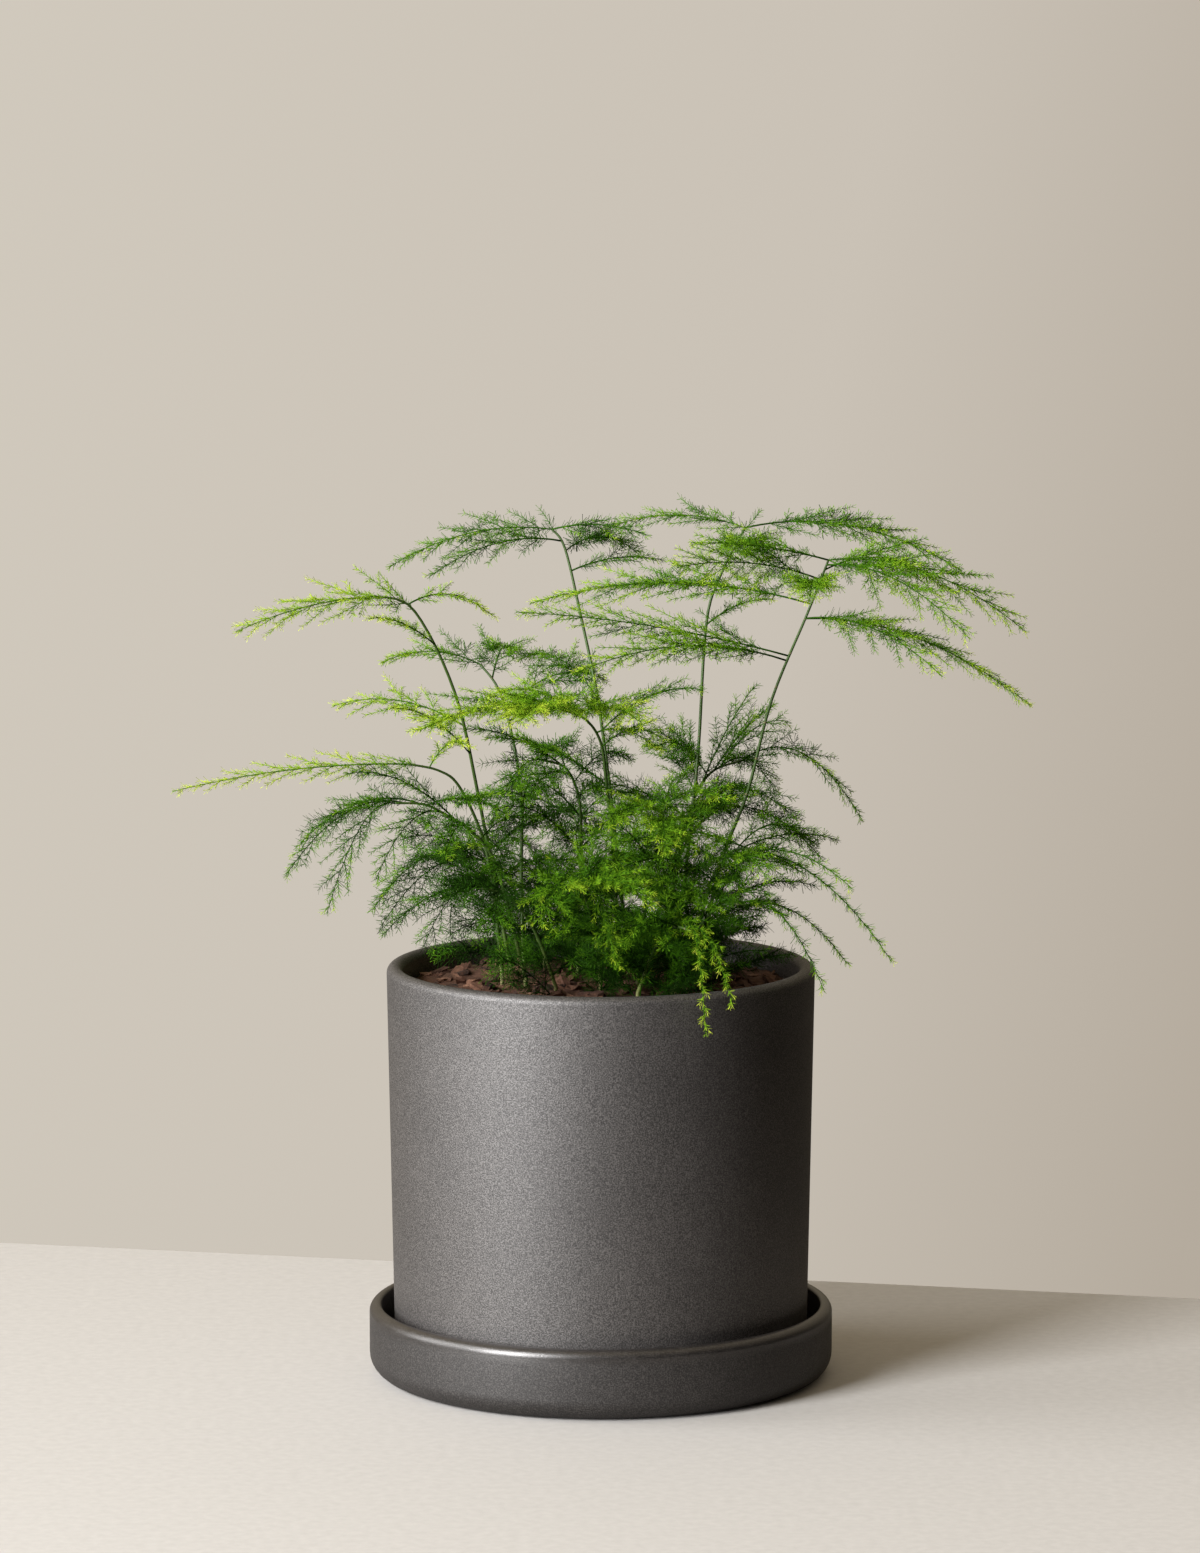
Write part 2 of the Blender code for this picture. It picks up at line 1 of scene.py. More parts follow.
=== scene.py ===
# %% [markdown]
# # A potted asparagus fern
#
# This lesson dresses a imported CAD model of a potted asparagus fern. The CAD solids give the true sizes
# and places: a saucer, a pot, its soil and nineteen fronds. Here the pot gets its round, satin glaze,
# the soil its bark, and every frond its thousands of fine needles.

# %% Load the frame and keep its size
import math
import random

import bmesh
import bpy
from mathutils import Matrix, Vector, noise


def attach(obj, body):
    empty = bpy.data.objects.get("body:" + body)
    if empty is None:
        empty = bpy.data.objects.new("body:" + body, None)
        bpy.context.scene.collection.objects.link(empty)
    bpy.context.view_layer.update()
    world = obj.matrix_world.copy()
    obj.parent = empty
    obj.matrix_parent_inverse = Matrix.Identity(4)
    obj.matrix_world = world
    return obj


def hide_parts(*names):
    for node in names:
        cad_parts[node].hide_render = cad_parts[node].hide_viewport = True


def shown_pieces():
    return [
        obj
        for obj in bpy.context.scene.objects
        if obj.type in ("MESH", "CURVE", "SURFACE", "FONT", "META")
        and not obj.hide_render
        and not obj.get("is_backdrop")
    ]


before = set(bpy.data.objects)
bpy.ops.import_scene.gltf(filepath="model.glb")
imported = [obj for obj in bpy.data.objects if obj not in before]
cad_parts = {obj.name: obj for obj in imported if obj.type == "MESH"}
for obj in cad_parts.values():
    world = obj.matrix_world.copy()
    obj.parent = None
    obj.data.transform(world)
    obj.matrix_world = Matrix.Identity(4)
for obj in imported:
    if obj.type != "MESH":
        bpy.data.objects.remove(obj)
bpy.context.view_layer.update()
scene = bpy.context.scene
MM = 0.001
UP = Vector((0, 0, 1))

# %% [markdown]
# ## The camera
#
# The photograph was taken from a little above with a long lens. The ellipses of the rim and of the
# saucer give the height of the camera and its tilt. A long lens far away keeps the pot's sides almost
# straight, as in the photograph. Blender's sensor width belongs to the long side of the picture.

# %% Set up the camera
CAMERA_PLACE = (-0.0003, -2.2275, 0.515)
CAMERA_TILT = math.radians(7.23)
LENS_MM = 135.6
SENSOR_MM = 36


def link_object(name, data):
    """Puts a mesh, a light, a curve or a camera into the scene as an object."""
    thing = bpy.data.objects.new(name, data)
    scene.collection.objects.link(thing)
    return thing


camera_data = bpy.data.cameras.new("portrait_camera")
camera_data.lens = LENS_MM
camera_data.sensor_width = SENSOR_MM
camera = link_object("portrait_camera", camera_data)
camera.location = CAMERA_PLACE
camera.rotation_euler = (math.pi / 2 - CAMERA_TILT, 0, 0)
scene.camera = camera
print("camera looks down by", round(math.degrees(CAMERA_TILT), 2), "degrees")

# %% [markdown]
# ## Helpers for materials
#
# A finish is a small graph of nodes round a Principled shader. These helpers add a node, feed its
# sockets and build the patterns that recur, so that each finish below reads as a short recipe.

# %% Node helpers
MIX_ENDINGS = {"FLOAT": "Float", "RGBA": "Color"}  # of the identifiers of a Mix node's sockets


def new_finish(name):
    """A material with a Principled shader, and the tree that its pattern grows in."""
    material = bpy.data.materials.new(name)
    material.use_nodes = True
    return material, material.node_tree, material.node_tree.nodes["Principled BSDF"]


def feed(tree, socket, source):
    """Links a socket to its source, or sets it where the source is a plain value."""
    if isinstance(source, bpy.types.NodeSocket):
        tree.links.new(source, socket)
    else:
        socket.default_value = source


def dress(tree, shader, looks):
    """Feeds the inputs of a shader by their names."""
    for label, source in looks.items():
        feed(tree, shader.inputs[label], source)


def add_node(tree, kind, **settings):
    """Adds a node. A setting that names an input feeds that input, and any other sets a property."""
    node = tree.nodes.new(kind)
    for key, value in settings.items():
        label = key.replace("_", " ").title()
        if label in node.inputs:
            feed(tree, node.inputs[label], value)
        else:
            setattr(node, key, value)
    return node


def add_ramp(tree, factor, stops):
    """A colour ramp through (place, colour) stops, driven by the factor socket."""
    ramp = add_node(tree, "ShaderNodeValToRGB", fac=factor)
    elements = ramp.color_ramp.elements
    while len(elements) < len(stops):
        elements.new(1)
    for element, (place, color) in zip(elements, stops):
        element.position = place
        element.color = (*color, 1)
    return ramp.outputs["Color"]


def mix(tree, first, second, share, data_type="FLOAT"):
    """A value or a colour that goes from the first to the second as the share goes from 0 to 1."""
    node = add_node(tree, "ShaderNodeMix", data_type=data_type, factor=share)
    sockets = {socket.identifier: socket for socket in [*node.inputs, *node.outputs]}
    ending = MIX_ENDINGS[data_type]
    feed(tree, sockets["A_" + ending], first)
    feed(tree, sockets["B_" + ending], second)
    return sockets["Result_" + ending]


def map_range(tree, value, source, target=(0, 1)):
    """Stretches a value, so that the ends of the source range come out as those of the target range."""
    node = add_node(tree, "ShaderNodeMapRange", value=value, from_min=source[0], from_max=source[1])
    node.inputs["To Min"].default_value, node.inputs["To Max"].default_value = target
    return node.outputs["Result"]


def read_attribute(tree, name):
    """A float attribute of the mesh's points."""
    return add_node(tree, "ShaderNodeAttribute", attribute_name=name).outputs["Fac"]


def camera_ray(tree):
    """1 where the camera itself looks, and 0 for light on its way from one thing to another."""
    return add_node(tree, "ShaderNodeLightPath").outputs["Is Camera Ray"]


def object_noise(tree, size, detail=2, roughness=0.5, stretch=(1, 1, 1)):
    """Noise on object coordinates, with blotches of about the given size in metres."""
    place = add_node(tree, "ShaderNodeTexCoord").outputs["Object"]
    scaled = add_node(tree, "ShaderNodeMapping", vector=place, scale=stretch).outputs["Vector"]
    pattern = add_node(tree, "ShaderNodeTexNoise", vector=scaled, scale=1 / size, detail=detail)
    pattern.inputs["Roughness"].default_value = roughness
    return pattern.outputs["Fac"]


def add_bump(tree, shader, height, strength, distance):
    bump = add_node(tree, "ShaderNodeBump", height=height, strength=strength, distance=distance)
    tree.links.new(bump.outputs["Normal"], shader.inputs["Normal"])


print("material helpers ready")

# %% [markdown]
# ## The stage
#
# A cream table top stands in front of a plain beige backdrop. The table is a thin slab with a soft edge,
# and its back edge runs a little askew, as in the photograph. The slab ends a little in front of what the
# camera sees, and it is darker as a light than for the camera, so that it throws little light back at the
# pot. The backdrop is the world itself, so that it is there from every side. It is pale for the camera
# and dimmer as a light, because the glaze needs a dark room to look dark, and it lights the shadows
# warmly from above.
# For the camera the backdrop darkens to the right and downward: painted shade, away from the lamps on the
# left.

# %% Lay the table
TABLE_SIZE = (0.62, 0.54, 0.03)
TABLE_EDGE = Vector((0, 0.187, 0))  # where the back edge crosses the middle of the picture
TABLE_TURN = math.radians(-12.6)
TABLE_EDGE_ROUND = 4 * MM
TABLE_GRAIN = 4 * MM
TABLE_COLORS = [(0.3, (0.635, 0.595, 0.563)), (0.7, (0.692, 0.65, 0.617))]
TABLE_THROWN = (0.30, 0.28, 0.26, 1)  # its colour for all light but the camera's view
TABLE_ROUGHNESS = 0.8
TABLE_BUMP = 0.15
TABLE_RELIEF = 0.5 * MM


def mesh_from(bm, name):
    """Makes a mesh from a bmesh, and frees the bmesh."""
    mesh = bpy.data.meshes.new(name)
    bm.to_mesh(mesh)
    bm.free()
    return mesh


bm = bmesh.new()
bmesh.ops.create_cube(bm, size=1)
bmesh.ops.scale(bm, vec=TABLE_SIZE, verts=bm.verts)
bmesh.ops.translate(bm, vec=(0, -TABLE_SIZE[1] / 2, -TABLE_SIZE[2] / 2), verts=bm.verts)
bmesh.ops.bevel(
    bm,
    geom=bm.edges,
    offset=TABLE_EDGE_ROUND,
    affect="EDGES",
    segments=4,
    profile=0.5,
    material=-1,
)
place = Matrix.Translation(TABLE_EDGE) @ Matrix.Rotation(TABLE_TURN, 4, "Z")
bmesh.ops.transform(bm, matrix=place, verts=bm.verts)
table = link_object("table_top", mesh_from(bm, "table_top"))
table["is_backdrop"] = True

table_finish, tree, shader = new_finish("cream_table")
grain = object_noise(tree, TABLE_GRAIN, detail=4)
cream = add_ramp(tree, grain, TABLE_COLORS)
color = mix(tree, TABLE_THROWN, cream, camera_ray(tree), "RGBA")
dress(tree, shader, {"Base Color": color, "Roughness": TABLE_ROUGHNESS})
add_bump(tree, shader, grain, TABLE_BUMP, TABLE_RELIEF)
table.data.materials.append(table_finish)
print("table top", TABLE_SIZE, "metres")

# %% Paint the backdrop
# A slope is an axis, and the two ends of a range: the colours follow how far the view direction points
# along the axis.
# The backdrop's colours are painted shade: darker to the right and downward, away from the lamps.
BACKDROP_SHADE_SLOPE = ((0.9, 0, -0.2), (-0.09, 0.13))
BACKDROP_SHADE_COLORS = [(0, (0.632, 0.582, 0.506)), (0.62, (0.588, 0.536, 0.466)), (1, (0.46, 0.407, 0.34))]
ROOM_SLOPE = ((-0.3, 0.4, 0.87), (-0.05, 0.95))
ROOM_COLORS = [(0, (0.02, 0.018, 0.016)), (1, (0.50, 0.43, 0.31))]

world = bpy.data.worlds.new("plain_studio")
world.use_nodes = True
scene.world = world
tree = world.node_tree
tree.nodes.clear()
direction = add_node(tree, "ShaderNodeTexCoord").outputs["Generated"]


def paint_background(slope, colors):
    """A background whose colours follow the view direction. Inputs of one name go by their number."""
    axis, ends = slope
    part = add_node(tree, "ShaderNodeVectorMath", operation="DOT_PRODUCT")
    feed(tree, part.inputs[0], direction)
    feed(tree, part.inputs[1], axis)
    ramp = add_ramp(tree, map_range(tree, part.outputs["Value"], ends), colors)
    return add_node(tree, "ShaderNodeBackground", color=ramp).outputs["Background"]


choice = add_node(tree, "ShaderNodeMixShader", fac=camera_ray(tree))
feed(tree, choice.inputs[1], paint_background(ROOM_SLOPE, ROOM_COLORS))
feed(tree, choice.inputs[2], paint_background(BACKDROP_SHADE_SLOPE, BACKDROP_SHADE_COLORS))
add_node(tree, "ShaderNodeOutputWorld", surface=choice.outputs["Shader"])
print("backdrop painted")

# %% [markdown]
# ## The light
#
# One tall soft lamp, cool as a window, stands to the left and in front. The glaze shows where: it is
# brightest between the lamp and the camera, and the shadow on the table runs to the right and back.
# A tall lamp reaches low enough to shine back from the pot's upright wall. A weaker one, straight to the
# left, spreads the sheen to the pot's left edge.

# %% Hang the lamps
LAMP_COLOR = (0.94, 0.975, 1.0)
LAMP_AIM = Vector((0, 0, 0.15))
LAMP_DISTANCE = 3.2
LAMP_ELEVATION = math.radians(20)
LAMPS = {  # degrees to the left of the camera, size in metres and power in watts
    "key_lamp": (47, (1.2, 2.25), 193),
    "side_lamp": (92, (1.6, 2.25), 50),
}

for name, (degrees, size, power) in LAMPS.items():
    azimuth = math.radians(degrees)
    level = Vector((-math.sin(azimuth), -math.cos(azimuth), 0))
    away = level * math.cos(LAMP_ELEVATION) + UP * math.sin(LAMP_ELEVATION)
    light = bpy.data.lights.new(name, "AREA")
    light.shape = "RECTANGLE"
    light.size, light.size_y = size
    light.energy = power
    light.color = LAMP_COLOR
    lamp = link_object(name, light)
    lamp.location = LAMP_AIM + away * LAMP_DISTANCE
    lamp.rotation_euler = (-away).to_track_quat("-Z", "Y").to_euler()
    print(name, "of", power, "W at", LAMP_DISTANCE, "m")
scene.view_settings.view_transform = "Standard"

# %% [markdown]
# ## The pot and its saucer
#
# Both were turned on a wheel and glazed in one charcoal glaze. The CAD solids have few sides, so here
# their sections are spun again with many more, and the saucer's lip is a little flatter, as in the
# photograph. A section is an outline of radius and height, with arcs for its lips and rounds. The pot's
# is closed, because its floor has a drain hole, and the others start and end at the axis. A spin copies
# the outline round the axis and joins the copies.

# %% Outline helpers
TURN_STEPS = 160
ARC_PIECES = 8
WELD_DISTANCE = 0.002 * MM


def arc(center, radius, start, end, pieces=ARC_PIECES):
    """Points (radius, height) of an arc from one angle to another, in degrees."""
    angles = [math.radians(start + (end - start) * i / pieces) for i in range(pieces + 1)]
    return [(center[0] + radius * math.cos(a), center[1] + radius * math.sin(a)) for a in angles]


def spin_section(section, closed=False):
    """Turns an outline in the XZ plane once round the Z axis."""
    bm = bmesh.new()
    points = [bm.verts.new((r, 0, z)) for r, z in section]
    pairs = zip(points, points[1:] + points[:1]) if closed else zip(points, points[1:])
    edges = [bm.edges.new(pair) for pair in pairs]
    bmesh.ops.spin(
        bm,
        geom=points + edges,
        cent=(0, 0, 0),
        axis=UP,
        angle=math.tau,
        steps=TURN_STEPS,
        use_merge=True,
    )
    bmesh.ops.remove_doubles(bm, verts=bm.verts, dist=WELD_DISTANCE)
    bmesh.ops.recalc_face_normals(bm, faces=bm.faces)
    return bm


def paint_points(bm, name, value_at):
    """Gives every point a float attribute, by a function of the point."""
    layer = bm.verts.layers.float.new(name)
    for vertex in bm.verts:
        vertex[layer] = value_at(vertex)


def count_triangles(mesh):
    return sum(len(face.vertices) - 2 for face in mesh.polygons)


def finish_piece(bm, name, finish, smooth=True):
    """Makes the piece's object, which rides on the one body."""
    mesh = mesh_from(bm, name)
    if smooth:
        mesh.shade_smooth()
    mesh.materials.append(finish)
    piece = link_object(name, mesh)
    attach(piece, "root")
    print(name, "has", count_triangles(mesh), "triangles")
    return piece


# %% [markdown]
# ### The glaze
#
# Seen close, the glaze is a satin charcoal with a fine sandy fleck, as crystals of it catch the light.
# Three sizes of noise make it: grains under a millimetre, soft mottling, and broad clouds. The grains
# also raise the surface a little and vary its gloss. On the saucer's lip the glaze is smoother, and the
# lamp shows there as a bright streak. The float attribute `lip` says where. The saucer's glaze is a little
# less sandy than the pot's, and darker by a painted shade that scales down its colour and, off the lip, its
# specular level.

# %% Mix the glaze
GLAZE_GRAIN = 0.5 * MM
GLAZE_MOTTLE = 3.5 * MM
GLAZE_CLOUD = 35 * MM
MOTTLE_SHARE = 0.1
CLOUD_SHARE = 0.12
GLAZE_COLORS = [
    (0.39, (0.009, 0.007, 0.0065)),
    (0.5, (0.024, 0.020, 0.018)),
    (0.61, (0.075, 0.065, 0.060)),
]
GLAZE_TINT = (1.0, 0.945, 0.92)
GLAZE_IOR = 2.15
GLAZE_ROUGHNESS = (0.64, 0.52)  # in the low grains and in the high ones
GLAZE_LEVEL = 0.51
GLAZE_SPARKLE = 0.15  # how far a low or a high grain is from that level
SPARKLE_RANGE = (0.35, 0.65)  # of the grains' noise
GLAZE_BUMP = 0.8
GLAZE_RELIEF = 0.14 * MM
LIP_ROUGHNESS = 0.36
LIP_LEVEL = 0.42
# The saucer's painted shade: its glaze colour, and its specular level away from the lip, are scaled down by
# this.
SAUCER_PAINTED_SHADE_SCALE = 0.62
SAUCER_FLECK = 0.55


def mix_glaze(name, painted_shade_scale, fleck):
    """The glaze as a finish. A painted shade scale under one darkens its colour, and its specular level away
    from the lip. Fleck says how sandy it looks.
    """
    glaze, tree, shader = new_finish(name)
    grains = object_noise(tree, GLAZE_GRAIN, detail=1.5, roughness=0.6)
    mottle = object_noise(tree, GLAZE_MOTTLE, detail=3)
    cloud = object_noise(tree, GLAZE_CLOUD, detail=2)
    pattern = mix(tree, mix(tree, grains, mottle, MOTTLE_SHARE), cloud, CLOUD_SHARE)
    stops = [(share, [painted_shade_scale * part for part in color]) for share, color in GLAZE_COLORS]
    lip = read_attribute(tree, "lip")
    roughness = map_range(tree, grains, (0, 1), GLAZE_ROUGHNESS)
    levels = [painted_shade_scale * (GLAZE_LEVEL + side * GLAZE_SPARKLE * fleck) for side in (-1, 1)]
    sparkle = map_range(tree, grains, SPARKLE_RANGE, levels)
    looks = {
        "Base Color": add_ramp(tree, pattern, stops),
        "IOR": GLAZE_IOR,
        "Roughness": mix(tree, roughness, LIP_ROUGHNESS, lip),
        "Specular IOR Level": mix(tree, sparkle, LIP_LEVEL, lip),
        "Specular Tint": (*GLAZE_TINT, 1),
    }
    dress(tree, shader, looks)
    add_bump(tree, shader, grains, GLAZE_BUMP * fleck, GLAZE_RELIEF)
    return glaze


pot_glaze = mix_glaze("charcoal_glaze", 1, 1)
# The saucer's copy of the glaze is darkened as painted shade.
saucer_glaze = mix_glaze("charcoal_saucer_glaze", SAUCER_PAINTED_SHADE_SCALE, SAUCER_FLECK)
print("glaze mixed")

# %% Turn the saucer
SAUCER_RADIUS = 89.7 * MM
SAUCER_HEIGHT = 27.5 * MM
SAUCER_WALL = 4.7 * MM
SAUCER_FLOOR = 6.5 * MM
SAUCER_FOOT_ROUND = 8.5 * MM
SAUCER_INNER_ROUND = 4 * MM
LIP_INNER_ROUND = 1.3 * MM
LIP_FADE = 3 * MM  # below the lip's outer round, where the glaze turns from smooth to sandy

lip_out = SAUCER_WALL - LIP_INNER_ROUND
lip_foot = SAUCER_HEIGHT - lip_out - LIP_FADE / 2
inner = SAUCER_RADIUS - SAUCER_WALL
saucer_section = [
    (0, SAUCER_FLOOR),
    *arc((inner - SAUCER_INNER_ROUND, SAUCER_FLOOR + SAUCER_INNER_ROUND), SAUCER_INNER_ROUND, -90, 0),
    *arc((inner + LIP_INNER_ROUND, SAUCER_HEIGHT - LIP_INNER_ROUND), LIP_INNER_ROUND, 180, 90),
    *arc((SAUCER_RADIUS - lip_out, SAUCER_HEIGHT - lip_out), lip_out, 90, 0, 2 * ARC_PIECES)[1:],
    (SAUCER_RADIUS, SAUCER_HEIGHT - lip_out - LIP_FADE),
    *arc((SAUCER_RADIUS - SAUCER_FOOT_ROUND, SAUCER_FOOT_ROUND), SAUCER_FOOT_ROUND, 0, -90),
    (0, 0),
]
bm = spin_section(saucer_section)
paint_points(bm, "lip", lambda point: float(point.co.z > lip_foot))
saucer = finish_piece(bm, "glazed_saucer", saucer_glaze)
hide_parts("saucer")

# %% Turn the pot
POT_TOP_RADIUS = 82.5 * MM
POT_FOOT_RADIUS = 79.8 * MM
POT_HEIGHT = 153 * MM
POT_WALL = 6.2 * MM
POT_FLOOR = 9 * MM
POT_FOOT_ROUND = 4 * MM
POT_INNER_ROUND = 6 * MM
FOOT_RECESS = 1.5 * MM
FOOT_RING_WIDTH = 9 * MM
DRAIN_RADIUS = 7 * MM
FIT_GAP = 0.3 * MM  # between two pieces, where one stands on or in the other
POT_BASE_Z = SAUCER_FLOOR + FIT_GAP
RIM_Z = POT_BASE_Z + POT_HEIGHT


def pot_outer_radius(z):
    return POT_FOOT_RADIUS + (POT_TOP_RADIUS - POT_FOOT_RADIUS) * (z - POT_BASE_Z) / POT_HEIGHT


lip = POT_WALL / 2
pot_floor = POT_BASE_Z + POT_FLOOR
inner_foot = pot_outer_radius(pot_floor) - POT_WALL - POT_INNER_ROUND
ring_inner = POT_FOOT_RADIUS - POT_FOOT_ROUND - FOOT_RING_WIDTH
pot_section = [
    *arc((POT_TOP_RADIUS - lip, RIM_Z - lip), lip, 180, 0, 2 * ARC_PIECES),
    *arc((POT_FOOT_RADIUS - POT_FOOT_ROUND, POT_BASE_Z + POT_FOOT_ROUND), POT_FOOT_ROUND, 0, -90),
    (ring_inner, POT_BASE_Z),
    (ring_inner - FOOT_RECESS, POT_BASE_Z + FOOT_RECESS),
    (DRAIN_RADIUS, POT_BASE_Z + FOOT_RECESS),
    (DRAIN_RADIUS, pot_floor),
    *arc((inner_foot, pot_floor + POT_INNER_ROUND), POT_INNER_ROUND, -90, 0),
]
bm = spin_section(pot_section, closed=True)
pot = finish_piece(bm, "glazed_pot", pot_glaze)
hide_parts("pot")

# %% [markdown]
# ## The soil
#
# The pot is filled with a reddish mix of bark and coir. Its bed is a turned solid whose top is raised
# by noise, in low lumps and fine crumbs. On it lie a few hundred bark chips, each a jittered box.

# %% Fill in the soil bed
SOIL_Z = RIM_Z - 9.5 * MM
SOIL_MOUND = 2 * MM
SOIL_RINGS = 44
LUMP_HEIGHT, LUMP_SIZE = 1.2 * MM, 14 * MM
CRUMB_HEIGHT, CRUMB_SIZE = 1.1 * MM, 2.6 * MM
SOIL_GRAIN = 1.6 * MM
SOIL_COLORS = [
    (0.22, (0.022, 0.010, 0.006)),
    (0.42, (0.085, 0.034, 0.018)),
    (0.6, (0.17, 0.075, 0.042)),
    (0.8, (0.30, 0.16, 0.095)),
]
TONE_SHARE = 0.5  # how much of the colour comes from the tone of a chip or the bed
BED_TONE = 0.5
SOIL_ROUGHNESS = 0.9
SOIL_BUMP = 0.6
SOIL_RELIEF = 0.5 * MM
soil_edge = pot_outer_radius(SOIL_Z) - POT_WALL - FIT_GAP


def soil_height(x, y):
    """Height of the loose surface: the CAD's low mound and lumps, with crumbs on them."""
    mound = SOIL_MOUND * (1 - (math.hypot(x, y) / soil_edge) ** 2)
    lumps = LUMP_HEIGHT * noise.noise(Vector((x, y, 0)) / LUMP_SIZE)
    crumbs = CRUMB_HEIGHT * noise.noise(Vector((x, y, 1)) / CRUMB_SIZE)
    return SOIL_Z + mound + lumps + crumbs


soil_bottom = pot_floor + FIT_GAP
foot_edge = pot_outer_radius(soil_bottom) - POT_WALL - FIT_GAP
soil_section = [
    *[(soil_edge * i / SOIL_RINGS, SOIL_Z) for i in range(SOIL_RINGS + 1)],
    (foot_edge, soil_bottom + POT_INNER_ROUND),
    (foot_edge - POT_INNER_ROUND, soil_bottom),
    (0, soil_bottom),
]
bm = spin_section(soil_section)
for vertex in bm.verts:
    if abs(vertex.co.z - SOIL_Z) < FIT_GAP / 2:
        vertex.co.z = soil_height(vertex.co.x, vertex.co.y)
paint_points(bm, "tone", lambda point: BED_TONE)
bark_soil, tree, shader = new_finish("bark_and_coir")
crumbs = object_noise(tree, SOIL_GRAIN, detail=4, roughness=0.65)
color = add_ramp(tree, mix(tree, crumbs, read_attribute(tree, "tone"), TONE_SHARE), SOIL_COLORS)
dress(tree, shader, {"Base Color": color, "Roughness": SOIL_ROUGHNESS})
add_bump(tree, shader, crumbs, SOIL_BUMP, SOIL_RELIEF)
bed = finish_piece(bm, "soil_bed", bark_soil)
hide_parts("soil")

# %% Scatter the bark chips
CHIP_SEED = 11
CHIP_COUNT = 420
CHIP_LENGTH = (3 * MM, 9 * MM)
CHIP_WIDTH = (0.3, 0.6)  # of the length
CHIP_THICKNESS = (0.12, 0.28)  # of the length
CHIP_MARGIN = 0.55  # of the length, kept free at the pot's wall
CHIP_ROUNDING = (1.15, 0.3)  # moves corners and edges in, and leaves the middles of the faces
CHIP_JITTER = 0.16
CHIP_SLANT = 0.35  # radians, as a spread
CHIP_LIFT = 0.3  # of the thickness, from the soil to the chip's middle

chance = random.Random(CHIP_SEED)
bm = bmesh.new()
bm.verts.layers.float.new("tone")
for _ in range(CHIP_COUNT):
    length = chance.uniform(*CHIP_LENGTH)
    reach = (soil_edge - length * CHIP_MARGIN) * math.sqrt(chance.random())
    angle = chance.uniform(0, math.tau)
    x, y = reach * math.cos(angle), reach * math.sin(angle)
    chip = bmesh.new()
    bmesh.ops.create_cube(chip, size=1)
    bmesh.ops.subdivide_edges(chip, edges=chip.edges, cuts=1, use_grid_fill=True)
    tone = chance.random()
    for vertex in chip.verts:
        wobble = Vector((chance.uniform(-1, 1), chance.uniform(-1, 1), chance.uniform(-1, 1)))
        rounding = CHIP_ROUNDING[0] - CHIP_ROUNDING[1] * vertex.co.length
        vertex.co = vertex.co * rounding + wobble * CHIP_JITTER
    paint_points(chip, "tone", lambda point: tone)
    size = (length, length * chance.uniform(*CHIP_WIDTH), length * chance.uniform(*CHIP_THICKNESS))
    turn = Matrix.Rotation(chance.uniform(0, math.tau), 4, "Z")
    turn @= Matrix.Rotation(chance.gauss(0, CHIP_SLANT), 4, "Y")
    place = Matrix.Translation((x, y, soil_height(x, y) + CHIP_LIFT * size[2]))
    bmesh.ops.transform(chip, matrix=place @ turn @ Matrix.Diagonal((*size, 1)), verts=chip.verts)
    made = mesh_from(chip, "one_chip")
    bm.from_mesh(made)
    bpy.data.meshes.remove(made)
finish_piece(bm, "bark_chips", bark_soil, smooth=False)

# %% [markdown]
# ## The fronds
#
# An asparagus fern has no true leaves. Wiry stems arch up from the soil, each spray has a rib, side
# branches leave it left and right in one flat layer, and small twigs leave those in turn. Every twig
# carries tufts of tiny green needles. So the same rule repeats at three sizes, and code suits it.
#
# The table says where each frond grows, in millimetres: its root in the soil, the points that its stem
# passes, and its sprays as the share of the stem where each leaves, its tip, its arch above the straight
# line, and its half width. Youth is how far its colour leans to the yellow-green of young growth, and
# low youth is the same for its low shoots, where they differ. Feathered is the share of the stem from
# which the stem carries branches too.

